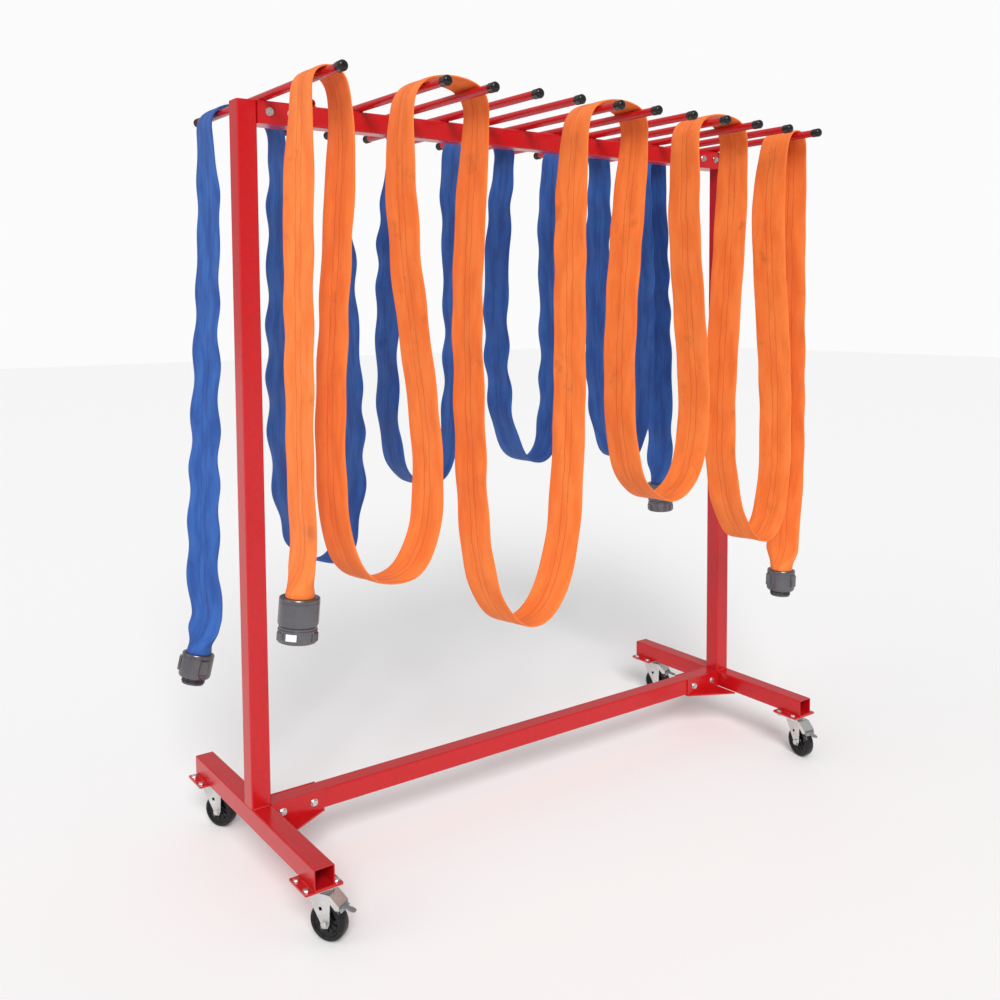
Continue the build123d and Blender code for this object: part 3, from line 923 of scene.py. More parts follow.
ORANGE_POINTS = [
    (-1.061, 0.975), (-1.050, 1.092), (-1.047, 1.124), (-1.055, 1.343), (-1.050, 1.713),
    (-1.044, 2.093), (-1.034, 2.303), (-1.028, OVER), (-0.926, OVER), (-0.908, 2.303), (-0.916, 2.133),
    (-0.940, 1.813), (-0.958, 1.513), (-0.962, 1.283), (-0.940, 1.093), (-0.880, 0.998),
    (-0.790, 0.973), (-0.700, 1.003), (-0.648, 1.103), (-0.634, 1.273), (-0.652, 1.493),
    (-0.692, 1.773), (-0.720, 2.053), (-0.722, 2.293), (-0.700, ARCH_LOW), (-0.574, ARCH_HIGH),
    (-0.448, ARCH_LOW), (-0.456, 2.283), (-0.476, 2.073), (-0.492, 1.793), (-0.488, 1.493),
    (-0.480, 1.213), (-0.462, 0.973), (-0.400, 0.813), (-0.305, 0.751), (-0.205, 0.788),
    (-0.130, 0.933), (-0.098, 1.173), (-0.086, 1.493), (-0.084, 1.813), (-0.080, 2.093),
    (-0.068, 2.303), (-0.044, ARCH_LOW), (0.082, ARCH_HIGH), (0.208, ARCH_LOW), (0.196, 2.283),
    (0.168, 2.073), (0.146, 1.793), (0.130, 1.513), (0.146, 1.283), (0.205, 1.138), (0.320, 1.085),
    (0.430, 1.128), (0.490, 1.273), (0.500, 1.483), (0.466, 1.793), (0.440, 2.073), (0.442, 2.293),
    (0.447, ARCH_LOW), (0.573, ARCH_HIGH), (0.699, ARCH_LOW), (0.694, 2.283), (0.682, 2.073),
    (0.660, 1.793), (0.634, 1.463), (0.632, 1.193), (0.690, 0.973), (0.790, 0.875), (0.890, 0.903),
    (0.940, 1.073), (0.950, 1.313), (0.930, 1.633), (0.900, 1.933), (0.890, 2.153), (0.908, 2.313),
    (0.938, OVER), (1.028, OVER), (1.026, 2.303), (1.018, 2.113), (1.022, 1.813), (1.028, 1.413),
    (1.026, 1.093), (1.000, 0.875), (0.992, 0.737),
]
BLUE_POINTS = [
    (-1.086, 0.619), (-1.062, 0.716), (-1.056, 0.740), (-1.066, 0.840), (-1.064, 0.943),
    (-1.048, 1.313), (-1.030, 1.753), (-1.014, 2.093), (-1.020, 2.293), (-1.028, ARCH_LOW),
    (-0.902, ARCH_HIGH), (-0.776, ARCH_LOW), (-0.764, 2.293), (-0.770, 2.003), (-0.784, 1.613),
    (-0.782, 1.263), (-0.760, 1.033), (-0.700, 0.893), (-0.610, 0.849), (-0.530, 0.913),
    (-0.496, 1.093), (-0.492, 1.333), (-0.508, 1.693), (-0.524, 2.033), (-0.530, 2.293),
    (-0.536, ARCH_LOW), (-0.410, ARCH_HIGH), (-0.284, ARCH_LOW), (-0.296, 2.293), (-0.326, 2.073),
    (-0.342, 1.773), (-0.348, 1.473), (-0.336, 1.253), (-0.280, 1.123), (-0.205, 1.099),
    (-0.110, 1.143), (-0.062, 1.283), (-0.044, 1.493), (-0.040, 1.793), (-0.046, 2.073),
    (-0.056, 2.293), (-0.044, ARCH_LOW), (0.082, ARCH_HIGH), (0.208, ARCH_LOW), (0.192, 2.293),
    (0.166, 2.073), (0.154, 1.793), (0.158, 1.513), (0.182, 1.293), (0.250, 1.163), (0.345, 1.131),
    (0.408, 1.193), (0.434, 1.373), (0.440, 1.653), (0.432, 1.913), (0.428, 2.133), (0.438, 2.293),
    (0.447, ARCH_LOW), (0.573, ARCH_HIGH), (0.699, ARCH_LOW), (0.702, 2.293), (0.692, 2.073),
    (0.684, 1.793), (0.690, 1.513), (0.710, 1.293), (0.764, 1.143), (0.840, 1.103), (0.905, 1.173),
    (0.938, 1.343), (0.956, 1.633), (0.954, 1.913), (0.940, 2.133), (0.934, 2.303), (0.940, OVER),
    (1.030, OVER), (1.026, 2.293), (1.032, 2.073), (1.044, 1.773), (1.064, 1.413), (1.062, 1.210),
    (1.064, 1.096), (1.066, 0.972),
]
# degrees that the lugs of the female and of the male half are turned
LUG_TURNS = {Hose.ORANGE: (25.0, 50.8), Hose.BLUE: (44.5, 55.5)}


# --------------------------------------------------------------------------- couplings


@dataclass
class Coupling:
    """One hose coupling half, turned about its own axis from the hose's end outwards."""

    name: str
    mouth: Vector
    direction: Vector
    female_radius: float = 0.057
    male_radius: float = 0.053
    bowl_length: float = 0.080
    socket_radius: float = 0.0421
    waterway: float = 0.033
    swivel_length: float = 0.045
    lug_count: int = 3
    lug_turn: float = 45.0
    label_turn: float = 224.0
    thread_root: float = 0.0364
    thread_crest: float = 0.0388
    thread_pitch: float = 0.0034
    nose_length: float = 0.023
    socket_depth: float = 0.045
    collar_radius: float = 0.0555
    facets: int = 96

    def place(self) -> Matrix:
        """Frame of the coupling: Z points out of the hose."""
        return axis_matrix(self.mouth, self.direction)

    def bowl_profile(self, r: float) -> list[tuple[float, float]]:
        """Outline of a bowl: rounded lip, plain barrel with a fine tool line, and a chamfered shoulder.

        Args:
            r: outside radius of the bowl.

        Returns:
            (radius, height) points from the lip's inside to the shoulder.
        """
        length = self.bowl_length
        return [
            (self.socket_radius, 0.003), (self.socket_radius + 0.003, 0.0),
            (r - 0.004, 0.0), (r - 0.0015, 0.0008), (r - 0.0004, 0.0025), (r, 0.005),
            (r, 0.012), (r - 0.0006, 0.0126), (r, 0.0132),
            (r, length - 0.009), (r - 0.0007, length - 0.006), (r - 0.0022, length - 0.003),
            (r - 0.0045, length),
        ]

    def male_thread(self) -> list[tuple[float, float]]:
        """Outline of the threaded nose beyond the bowl.

        Returns:
            (radius, height) points from the bowl to the nose's inside.
        """
        root, crest, pitch, start = self.thread_root, self.thread_crest, self.thread_pitch, self.bowl_length
        first = start + 0.004
        points = [(root, start), (root, first)]
        for turn in range(4):
            level = first + turn * pitch
            points += [(root, level), (crest, level + pitch * 0.35), (crest, level + pitch * 0.55)]
            points.append((root, level + pitch))
        top = start + self.nose_length
        points += [(root, top - 0.0012), (root - 0.0012, top)]
        return points + [(self.waterway + 0.0008, top), (self.waterway, top - 0.001)]

    def build_male(self, finish: bpy.types.Material) -> bpy.types.Object:
        """Male half: bowl with long rocker lugs and a threaded nose.

        Args:
            finish: the coupling's finish.

        Returns:
            The piece.
        """
        maker = bmesh.new()
        profile = self.bowl_profile(self.male_radius) + self.male_thread()
        profile += [(self.waterway, self.socket_depth), (self.socket_radius, self.socket_depth)]
        lathe(maker, profile, self.place(), steps=self.facets)
        self.add_lugs(maker, start=0.014, height=0.050, core=self.male_radius, reach=0.0082)
        return self.piece(maker, f"{self.name}_male_half", finish, "root", f"{self.name}_male")

    def build_bowl(self, finish: bpy.types.Material) -> bpy.types.Object:
        """Female half's bowl with the tail that carries the swivel.

        Args:
            finish: the coupling's finish.

        Returns:
            The piece.
        """
        maker = bmesh.new()
        start = self.bowl_length
        profile = self.bowl_profile(self.female_radius) + [
            (0.0458, start), (0.0458, start + 0.017), (0.045, start + 0.018), (self.waterway, start + 0.018),
            (self.waterway, self.socket_depth), (self.socket_radius, self.socket_depth),
        ]
        lathe(maker, profile, self.place(), steps=self.facets)
        return self.piece(maker, f"{self.name}_bowl_half", finish, "root", f"{self.name}_bowl")

    def build_swivel(self, finish: bpy.types.Material) -> bpy.types.Object:
        """Female swivel: threaded collar with rocker lugs.

        Args:
            finish: the coupling's finish.

        Returns:
            The piece.
        """
        maker = bmesh.new()
        start = self.bowl_length + 0.0003
        end = start + self.swivel_length
        outer, bore, groove = self.collar_radius, 0.0394, 0.0412
        profile = [
            (0.0462, start), (outer - 0.0035, start), (outer - 0.0022, start + 0.0010),
            (outer - 0.0022, start + 0.006), (outer, start + 0.0080),
            (outer, end - 0.004), (outer - 0.0015, end - 0.0012), (outer - 0.004, end),
            (0.0408, end), (0.0396, end - 0.0015),
        ]
        for turn in range(6):
            level = end - 0.003 - turn * self.thread_pitch
            profile += [(bore, level), (groove, level - 0.0012), (groove, level - 0.0018)]
            profile.append((bore, level - 0.003))
        profile += [(0.041, start + 0.0215), (0.041, start + 0.018), (0.0462, start + 0.018)]
        lathe(maker, profile, self.place(), steps=self.facets)
        self.add_lugs(maker, start=start + 0.011, height=0.029, core=outer, reach=0.0062)
        return self.piece(maker, f"{self.name}_swivel_collar", finish, f"{self.name}_coupling_swivel",
                          f"{self.name}_swivel")

    def build_label(self, finish: bpy.types.Material) -> bpy.types.Object:
        """Small blank sticker wrapped on the swivel collar between two lugs.

        Args:
            finish: the sticker's finish.

        Returns:
            The piece.
        """
        maker = bmesh.new()
        place = self.place()
        start, height, radius = self.bowl_length + 0.0145, 0.019, self.collar_radius + 0.00015
        columns, spread = 16, math.radians(32.0)
        rows = []
        for level in (start, start + height):
            row = []
            for column in range(columns + 1):
                angle = math.radians(self.label_turn) + spread * (column / columns - 0.5)
                spot = Vector((radius * math.cos(angle), radius * math.sin(angle), level))
                row.append(maker.verts.new(place @ spot))
            rows.append(row)
        for column in range(columns):
            maker.faces.new((rows[0][column], rows[0][column + 1], rows[1][column + 1], rows[1][column]))
        extruded = bmesh.ops.extrude_face_region(maker, geom=maker.faces[:])["geom"]
        axis = place.to_3x3() @ Z_AXIS
        for vertex in (item for item in extruded if isinstance(item, bmesh.types.BMVert)):
            outward = vertex.co - self.mouth
            outward -= axis * outward.dot(axis)
            vertex.co += outward.normalized() * 0.00025
        piece = new_object(f"{self.name}_blank_label", finish_mesh(maker, "blank_label"), finish)
        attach(piece, f"{self.name}_coupling_swivel")
        return piece

    def piece(
        self, maker: bmesh.types.BMesh, name: str, finish: bpy.types.Material, body: str, node: str
    ) -> bpy.types.Object:
        """Finish a coupling piece.

        Args:
            maker: its mesh under construction.
            name: the piece's name.
            finish: its finish.
            body: the body it rides on.
            node: the CAD node it stands for.

        Returns:
            The piece.
        """
        made = new_object(name, finish_mesh(maker, name), finish)
        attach(made, body)
        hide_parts(node)
        return made

    def add_lugs(
        self, maker: bmesh.types.BMesh, start: float, height: float, core: float, reach: float
    ) -> None:
        """Rocker lugs: low rounded blocks round the barrel, each with a dished middle.

        Args:
            maker: mesh under construction.
            start: where the lugs begin along the axis.
            height: their length along the axis.
            core: radius of the barrel under them.
            reach: how far they stand out.
        """
        half, rounding, steps = 0.0135, 0.0035, 16
        for turn in range(self.lug_count):
            turned = math.radians(self.lug_turn) + 2 * math.pi * turn / self.lug_count
            place = self.place() @ Matrix.Rotation(turned, 4, "Z")
            rows = []
            for row in range(steps + 1):
                v = row / steps
                line = []
                for column in range(steps + 1):
                    u = column / steps * 2 - 1
                    edge = min(1.0, (1 - abs(u)) * 5.0) * min(1.0, min(v, 1 - v) * height / rounding)
                    rise = reach * (edge ** 0.5) * (0.8 + 0.2 * abs(u) ** 2)
                    angle = u * half / core
                    radius = core - 0.0006 + rise
                    spot = Vector((radius * math.cos(angle), radius * math.sin(angle), start + height * v))
                    line.append(maker.verts.new(place @ spot))
                rows.append(line)
            for low, high in zip(rows, rows[1:]):
                for column in range(steps):
                    maker.faces.new((low[column], low[column + 1], high[column + 1], high[column]))
            rim = rows[0] + [line[-1] for line in rows[1:]]
            rim += rows[-1][-2::-1] + [line[0] for line in rows[-2:0:-1]]
            maker.faces.new(rim[::-1])


# --------------------------------------------------------------------------- pegs


@dataclass
class PegCaps:
    """Ribbed vinyl caps with a domed nose on every peg end."""

    finish: bpy.types.Material
    rib_count: int = 20
    grip: float = 0.024
    nose: float = 0.010
    radius: float = 0.0152

    def cap(self, maker: bmesh.types.BMesh, place: Matrix) -> None:
        """One cap.

        Args:
            maker: mesh under construction.
            place: frame at the peg's end, whose Z axis points out of the peg.
        """
        r, inner = self.radius, PEG_RADIUS + 0.0001

        def ribbed(radius: float, level: float, angle: float) -> float:
            """Shallow lengthwise ribs round the skirt."""
            if radius < inner + 0.0012 or level > -0.001:
                return radius
            return radius - 0.0005 * (0.5 + 0.5 * math.cos(angle * self.rib_count))

        profile = [
            (inner, -self.grip), (r - 0.001, -self.grip), (r, -self.grip + 0.0012), (r, -0.0012),
            (r + 0.0003, 0.0), (r + 0.0003, 0.0018), (r - 0.0006, 0.004), (r - 0.0026, 0.0068),
            (r - 0.0062, 0.0088), (r - 0.0105, self.nose - 0.0003), (0.0, self.nose),
        ]
        lathe(maker, profile, place, steps=80, wobble=ribbed)

    def build(self) -> bpy.types.Object:
        """All caps as one piece.

        Returns:
            The piece that stands for the caps.
        """
        maker = bmesh.new()
        for name in peg_names():
            low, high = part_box(name)
            middle = (low + high) / 2
            ends = [(high.y, 1)] if low.y > STUB_FRONT else [(low.y, -1), (high.y, 1)]
            for end_y, outward in ends:
                tip = Vector((middle.x, end_y, middle.z))
                self.cap(maker, axis_matrix(tip, Vector((0, outward, 0)), X_AXIS))
        piece = new_object("ribbed_peg_caps", finish_mesh(maker, "ribbed_peg_caps"), self.finish)
        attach(piece, "root")
        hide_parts("peg_caps")
        return piece


# --------------------------------------------------------------------------- frame


@dataclass
class Frame:
    """Painted steel frame: finishes on the CAD tubes, weld beads and bolts."""

    paint: bpy.types.Material
    zinc: bpy.types.Material
    bead_radius: float = 0.0032
    bead_step: float = 0.0016
    bracket_bolts: tuple[tuple[str, str, tuple[float, float]], ...] = (
        ("left_post", "crossbar", (0.068, 0.175)),
        ("right_post", "crossbar", (0.068, 0.175)),
        ("left_post", "top_beam", (0.070, 0.140)),
        ("right_post", "top_beam", (0.070, 0.140)),
    )
    plate_holes: tuple[float, float] = (0.04605, 0.0333)

    def dress(self) -> None:
        """Give the frame's own nodes their paint."""
        names = ["left_leg", "right_leg", "left_post", "right_post", "crossbar", "top_beam",
                 "base_bracket_left", "base_bracket_right", "top_bracket_left", "top_bracket_right"]
        for name in names + peg_names():
            paint_node(name, self.paint)

    def bead(self, maker: bmesh.types.BMesh, start: Vector, end: Vector, seed: float) -> None:
        """A rippled weld bead.

        Args:
            maker: mesh under construction.
            start: where the bead starts.
            end: where it ends.
            seed: offset of its uneven parts.
        """
        length = (end - start).length
        count = max(6, int(length / self.bead_step))
        place = axis_matrix(start, end - start, Vector((0.31, 0.52, 0.79)))
        profile = [(0.0, -0.0008)]
        for step in range(count + 1):
            share = step / count
            swell = 0.86 + 0.14 * math.cos(step * 2.4) + 0.1 * noise.noise(Vector((share * 9, seed, 0)))
            taper = min(1.0, min(share, 1 - share) * count / 3 + 0.45)
            profile.append((self.bead_radius * swell * taper, share * length))
        profile.append((0.0, length + 0.0008))
        lathe(maker, profile, place, steps=12)

    def build_beads(self) -> bpy.types.Object:
        """Weld beads at the post feet, the castor plates and under every peg.

        Returns:
            The beads as one piece.
        """
        maker = bmesh.new()
        inset, plate_seam, peg_seam, peg_side, peg_lift = 0.006, 0.10, 0.010, 0.0062, 0.0012
        seed = 0.0
        for side in ("left", "right"):
            low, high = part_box(f"{side}_post")
            leg_low, leg_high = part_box(f"{side}_leg")
            plate_level = low.z - (high.x - low.x)
            for y in (low.y, high.y):
                self.bead(maker, Vector((low.x + inset, y, low.z)), Vector((high.x - inset, y, low.z)), seed)
                seed += 1
            for y_end in (leg_low.y, leg_high.y):
                toward = 1 if y_end < 0 else -1
                for x in (low.x, high.x):
                    start = Vector((x, y_end + toward * inset, plate_level))
                    self.bead(maker, start, Vector((x, y_end + toward * plate_seam, plate_level)), seed)
                    seed += 1
        beam_low, beam_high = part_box("top_beam")
        for name in peg_names():
            low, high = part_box(name)
            x = (low.x + high.x) / 2
            for y in (beam_low.y + 0.004, beam_high.y - 0.012):
                for shift in (-peg_side, peg_side):
                    start = Vector((x + shift, y, beam_high.z + peg_lift))
                    self.bead(maker, start, start + Vector((0, peg_seam, 0)), seed)
                    seed += 1
        piece = new_object("weld_beads", finish_mesh(maker, "weld_beads"), self.paint)
        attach(piece, "root")
        return piece

    def build_bracket_bolts(self) -> bpy.types.Object:
        """Hex bolts, washers and nuts on both faces of each bracket.

        Returns:
            The bolts as one piece.
        """
        maker = bmesh.new()
        head, head_height, stud_length, stud_radius = 0.0205, 0.0085, 0.004, 0.006
        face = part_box("top_bracket_left")[1].y
        for post, member, distances in self.bracket_bolts:
            low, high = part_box(post)
            post_x = (low.x + high.x) / 2
            sign = -1 if post_x < 0 else 1
            member_low, member_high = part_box(member)
            level = (member_low.z + member_high.z) / 2
            for distance in distances:
                turn = Matrix.Rotation(distance * 40 + sign, 4, "Z")
                for outward in (-1, 1):
                    spot = Vector((post_x - sign * distance, outward * face, level))
                    place = axis_matrix(spot, Vector((0, outward, 0)), X_AXIS) @ turn
                    stud = 0.0 if outward < 0 else stud_length
                    hex_bolt(maker, place, head, head_height, stud, stud_radius)
        piece = new_object("bracket_bolts", finish_mesh(maker, "bracket_bolts"), self.zinc)
        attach(piece, "root")
        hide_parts("bracket_fasteners")
        return piece

    def build_castor_bolts(self) -> bpy.types.Object:
        """Bolts through the castor plates.

        Returns:
            The bolts as one piece.
        """
        maker = bmesh.new()
        head, welded_plate, castor_plate = 0.0175, 0.006, 0.0035
        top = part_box("left_leg")[0].z + welded_plate
        reach_x, reach_y = self.plate_holes
        for corner in CORNERS:
            low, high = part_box(f"{corner}_plate")
            middle = (low + high) / 2
            for shift_x in (-reach_x, reach_x):
                for shift_y in (-reach_y, reach_y):
                    spot = Vector((middle.x + shift_x, middle.y + shift_y, top))
                    hex_bolt(maker, axis_matrix(spot, Z_AXIS), head, 0.0065)
                    spot.z = high.z - castor_plate
                    hex_bolt(maker, axis_matrix(spot, -Z_AXIS), head, 0.0060, 0.001, 0.005)
        piece = new_object("castor_bolts", finish_mesh(maker, "castor_bolts"), self.zinc)
        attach(piece, "root")
        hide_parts("castor_fasteners")
        return piece


def paint_node(name: str, material: bpy.types.Material) -> None:
    """Give a CAD node one material in every slot.

    Args:
        name: the node's name.
        material: its finish.
    """
    node = frame["nodes"][name]
    if not node.data.materials:
        node.data.materials.append(material)
    for index in range(len(node.material_slots)):
        node.material_slots[index].material = material


# --------------------------------------------------------------------------- castors


@dataclass
class Castor:
    """One swivel castor: moulded wheel core, worn tyre, plated fork and a brake pedal pad."""

    corner: str
    zinc: bpy.types.Material
    core: bpy.types.Material
    tread: bpy.types.Material
    pedal: bpy.types.Material
    radius: float = 0.057
    width: float = 0.034
    spoke_count: int = 10
    facets: int = 96

    def axle(self) -> tuple[Vector, Vector]:
        """Read the axle from the joint that rolls the wheel.

        Returns:
            Its middle and its direction.
        """
        joint = find_joint(f"{self.corner}_roll")
        return Vector(joint["pos_m"]), Vector(joint["axis"])

    def build_tyre(self) -> bpy.types.Object:
        """Tyre with rounded shoulders and fine sidewall rings.

        Returns:
            The piece.
        """
        middle, axis = self.axle()
        maker = bmesh.new()
        w, r = self.width / 2, self.radius
        rim = 0.0421
        half = [
            (rim, -w + 0.0020), (rim + 0.0006, -w + 0.0006), (rim + 0.0026, -w),
            (rim + 0.0030, -w + 0.0012), (rim + 0.0038, -w + 0.0012), (rim + 0.0042, -w),
            (r - 0.0066, -w + 0.0001), (r - 0.0060, -w + 0.0014), (r - 0.0052, -w + 0.0014),
            (r - 0.0046, -w + 0.0006), (r - 0.0026, -w + 0.0022), (r - 0.0012, -w + 0.0046),
            (r - 0.0004, -w + 0.0078), (r, -w + 0.0115), (r, -0.002),
        ]
        profile = half + [(radius, -level) for radius, level in reversed(half)]
        lathe(maker, profile, axis_matrix(middle, axis, Z_AXIS), steps=self.facets)
        piece = new_object(f"{self.corner}_tread", finish_mesh(maker, f"{self.corner}_tread"), self.tread)
        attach(piece, f"{self.corner}_wheel")
        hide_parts(f"{self.corner}_tyre")
        return piece

    def build_core(self) -> bpy.types.Object:
        """Moulded core with a stepped dish, ribs and a bearing boss.

        Returns:
            The piece.
        """
        middle, axis = self.axle()
        maker = bmesh.new()
        place = axis_matrix(middle, axis, Z_AXIS)
        side = [
            (0.00605, 0.0180), (0.0095, 0.0180), (0.0100, 0.0172), (0.0128, 0.0170), (0.0132, 0.0160),
            (0.0140, 0.0118), (0.0160, 0.0098), (0.0300, 0.0096), (0.0330, 0.0116), (0.0345, 0.0140),
            (0.0380, 0.0144), (0.0384, 0.0136), (0.0392, 0.0136), (0.0396, 0.0146), (0.0410, 0.0146),
            (0.0420, 0.0138),
        ]
        profile = side + [(radius, -level) for radius, level in reversed(side)]
        lathe(maker, profile, place, steps=self.facets)
        rib_size, rib_radius, rib_level = (0.0180, 0.0024, 0.0036), 0.0238, 0.0112
        for turn in range(self.spoke_count):
            spoke = place @ Matrix.Rotation(2 * math.pi * turn / self.spoke_count, 4, "Z")
            for face in (-1, 1):
                box = bmesh.ops.create_cube(maker, size=1.0)["verts"]
                bmesh.ops.scale(maker, verts=box, vec=rib_size)
                bmesh.ops.translate(maker, verts=box, vec=(rib_radius, 0.0, face * rib_level))
                bmesh.ops.transform(maker, verts=box, matrix=spoke)
        piece = new_object(f"{self.corner}_wheel_core", finish_mesh(maker, f"{self.corner}_core"), self.core)
        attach(piece, f"{self.corner}_wheel")
        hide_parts(f"{self.corner}_hub")
        return piece

    def build_race(self) -> bpy.types.Object:
        """Pressed race dome round the swivel, with its rolled rim and dust ring.

        Returns:
            The piece.
        """
        low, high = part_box(f"{self.corner}_plate")
        middle = (low + high) / 2
        top = high.z - 0.0035
        maker = bmesh.new()
        profile = [
            (0.030, top - 0.0005), (0.0455, top - 0.0005), (0.0448, top - 0.0022), (0.0405, top - 0.0040),
            (0.0385, top - 0.0075), (0.0372, top - 0.0092), (0.0360, top - 0.0096), (0.0300, top - 0.0096),
        ]
        lathe(maker, profile, Matrix.Translation(Vector((middle.x, middle.y, 0))), steps=72)
        piece = new_object(f"{self.corner}_race_dome", finish_mesh(maker, f"{self.corner}_race"), self.zinc)
        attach(piece, "root")
        return piece

    def build_pedal(self) -> bpy.types.Object:
        """Brake lever: a shoe between the fork's cheeks, a narrow arm and a rounded toe tab.

        Returns:
            The piece.
        """
        pivot = joint_place(f"{self.corner}_brake_press")
        trail = joint_place(f"{self.corner}_roll") - joint_place(f"{self.corner}_swivel")
        ahead = Vector((trail.x, trail.y, 0)).normalized()
        place = Matrix((ahead, Z_AXIS.cross(ahead), Z_AXIS)).transposed().to_4x4()
        place = Matrix.Translation(pivot) @ place
        maker = bmesh.new()
        shoe = [
            (-0.002, -0.003), (0.002, 0.0035), (0.016, 0.001),
            (0.014, -0.007), (0.010, -0.0130), (0.0065, -0.0140),
        ]
        arm = [(0.012, 0.0022), (0.034, -0.0028), (0.034, -0.0075), (0.014, -0.0035)]
        slab(maker, place, shoe, 0.0170)
        slab(maker, place, arm, 0.0070)
        eye_radius, tip_x, tip_reach, tip_half = 0.0050, 0.0375, 0.0085, 0.0105
        angles = [math.pi * step / 10 for step in range(20)]
        eye = [(eye_radius * math.cos(angle), eye_radius * math.sin(angle)) for angle in angles]
        slab(maker, place, eye, 0.0190)
        outline = [(0.026, -0.0090), (0.028, -tip_half)]
        for angle in angles[:11]:
            outline.append((tip_x + tip_reach * math.sin(angle), -tip_half * math.cos(angle)))
        outline += [(0.028, tip_half), (0.026, 0.0090)]
        rows = []
        for level in (-0.0026, 0.0):
            spots = [Vector((x, y, level - 0.0015 - (x - 0.024) * 0.22)) for x, y in outline]
            rows.append([maker.verts.new(place @ spot) for spot in spots])
        maker.faces.new(rows[0][::-1])
        maker.faces.new(rows[1])
        for index in range(len(rows[0])):
            after = (index + 1) % len(rows[0])
            maker.faces.new((rows[0][index], rows[0][after], rows[1][after], rows[1][index]))
        mesh = finish_mesh(maker, f"{self.corner}_lever")
        piece = new_object(f"{self.corner}_brake_lever", mesh, self.pedal)
        bevel = piece.modifiers.new("soft_edges", "BEVEL")
        bevel.width = 0.0006
        bevel.segments = 2
        bevel.limit_method = "ANGLE"
        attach(piece, f"{self.corner}_brake")
        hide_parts(f"{self.corner}_brake_pedal")
        return piece

    def dress(self) -> None:
        """Give the castor's own nodes their finishes."""
        for part in ("plate", "fork", "axle"):
            paint_node(f"{self.corner}_{part}", self.zinc)

    def build(self) -> list[bpy.types.Object]:
        """Build every piece of the castor.

        Returns:
            The new pieces.
        """
        self.dress()
        return [self.build_tyre(), self.build_core(), self.build_race(), self.build_pedal()]


# --------------------------------------------------------------------------- stage


@dataclass
class Stage:
    """Pale floor, soft lights and the camera."""

    camera_place: tuple[float, float, float] = (-2.304, -3.062, 1.786)
    heading: float = 35.82
    dip: float = 3.774
    roll: float = -0.352
    lens: float = 38.06
    shift: float = -0.1264
    ambient: float = 0.48
    backdrop: float = 0.97
    floor_reach: float = 30.0

    def build_camera(self) -> None:
        """Camera at the viewing angle."""
        data = bpy.data.cameras.new("view")
        data.lens = self.lens
        data.sensor_width = 36.0
        data.shift_y = self.shift
        camera = bpy.data.objects.new("view", data)
        bpy.context.scene.collection.objects.link(camera)
        turn = Matrix.Rotation(math.radians(-self.heading), 4, "Z")
        tip = Matrix.Rotation(math.radians(90 - self.dip), 4, "X")
        lean = Matrix.Rotation(math.radians(self.roll), 4, "Z")
        camera.matrix_world = Matrix.Translation(Vector(self.camera_place)) @ turn @ tip @ lean
        bpy.context.scene.camera = camera

    def build_floor(self) -> None:
        """Seamless pale floor."""
        mesh = bpy.data.meshes.new("floor")
        size = self.floor_reach
        corners = [(-size, -size, 0), (size, -size, 0), (size, size, 0), (-size, size, 0)]
        mesh.from_pydata(corners, [], [(0, 1, 2, 3)])
        floor = bpy.data.objects.new("floor", mesh)
        bpy.context.scene.collection.objects.link(floor)
        material = bpy.data.materials.new("pale_floor")
        material.use_nodes = True
        shader = material.node_tree.nodes["Principled BSDF"]
        shader.inputs["Base Color"].default_value = (0.97, 0.97, 0.97, 1.0)
        shader.inputs["Roughness"].default_value = 0.8
        mesh.materials.append(material)

    def sun(self, name: str, place: tuple[float, float, float], softness: float, strength: float) -> None:
        """One soft light that comes evenly from one side.

        Args:
            name: the light's name.
            place: where it comes from; it is aimed at the origin.
            softness: its size in degrees.
            strength: its power.
        """
        data = bpy.data.lights.new(name, "SUN")
        data.angle = math.radians(softness)
        data.energy = strength
        lamp = bpy.data.objects.new(name, data)
        lamp.rotation_euler = (-Vector(place)).to_track_quat("-Z", "Y").to_euler()
        bpy.context.scene.collection.objects.link(lamp)

    def build_lights(self) -> None:
        """Soft key and fill, and a white surround."""
        world = bpy.data.worlds.new("surround")
        world.use_nodes = True
        tree = world.node_tree
        background = tree.nodes["Background"]
        background.inputs["Color"].default_value = (1.0, 1.0, 1.0, 1.0)
        seen = new_node(tree, "ShaderNodeLightPath").outputs["Is Camera Ray"]
        link(tree, ramp(tree, seen, 0.0, 1.0, self.ambient, self.backdrop), background.inputs["Strength"])
        bpy.context.scene.world = world
        self.sun("key", (-2.4, -4.4, 3.8), 28.0, 2.3)
        self.sun("fill", (-4.0, 0.5, 2.0), 50.0, 0.4)

    def build(self) -> None:
        """Build the stage."""
        self.build_camera()
        self.build_floor()
        self.build_lights()
        bpy.context.scene.view_settings.view_transform = "Standard"


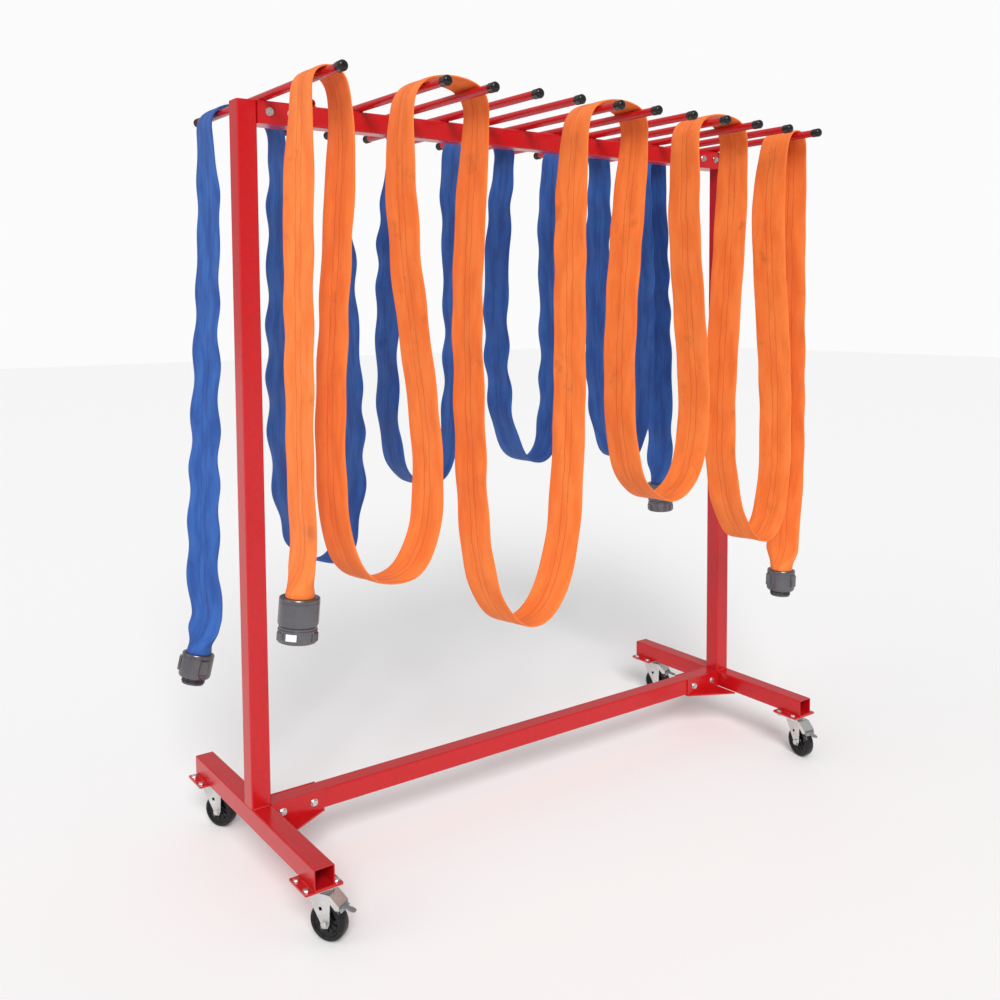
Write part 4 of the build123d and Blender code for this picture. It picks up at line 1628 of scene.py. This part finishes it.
# --------------------------------------------------------------------------- all of it


def hose_ends(line: list[Vector]) -> tuple[tuple[Vector, Vector], tuple[Vector, Vector]]:
    """Read both ends of a hose's line.

    Args:
        line: points along the middle of the hose.

    Returns:
        Place and outward direction of its first and of its last end.
    """
    return (line[0], line[0] - line[1]), (line[-1], line[-1] - line[-2])


def main() -> None:
    """Build the rack's looks in order."""
    logging.basicConfig(level=logging.INFO)
    effects = Effects()
    paint, zinc, vinyl, core, tread, pedal, hard_coat, sticker, brass, rubber, orange, blue = (
        finish.build(effects) for finish in FINISHES
    )

    Stage().build()
    hoses = {
        Hose.ORANGE: FlatHose(
            Hose.ORANGE, line_y=-0.380, route=ORANGE_POINTS, finish=orange, length=16.6, female_first=True,
            lean=-11.0, seed=1.7,
        ),
        Hose.BLUE: FlatHose(
            Hose.BLUE, line_y=0.370, route=BLUE_POINTS, finish=blue, length=15.7, female_first=False,
            lean=-9.0, start_lean=-20.0, wave=0.0085, seed=6.2,
        ),
    }
    for hose, flat in hoses.items():
        piece = flat.build()
        first, last = hose_ends(flat.line)
        female, male = (first, last) if flat.female_first else (last, first)
        female_turn, male_turn = LUG_TURNS[hose]
        female_half = Coupling(hose.value, *female, lug_turn=female_turn)
        female_half.build_bowl(hard_coat)
        female_half.build_swivel(hard_coat)
        if hose is Hose.ORANGE:
            female_half.build_label(sticker)
        male_piece = Coupling(hose.value, *male, lug_turn=male_turn).build_male(hard_coat)
        flat.declare(piece, male_piece)
        LOG.info("%s hose: %d rings", hose.value, len(flat.line))
    paint_node("expansion_rings", brass)
    paint_node("swivel_gaskets", rubber)

    rack = Frame(paint, zinc)
    rack.dress()
    for piece in (rack.build_beads(), rack.build_bracket_bolts(), rack.build_castor_bolts()):
        LOG.info("%s: %d faces", piece.name, len(piece.data.polygons))
    PegCaps(vinyl).build()
    for corner in CORNERS:
        for piece in Castor(corner, zinc, core, tread, pedal).build():
            LOG.info("%s: %d faces", piece.name, len(piece.data.polygons))


if __name__ == "__main__":
    main()
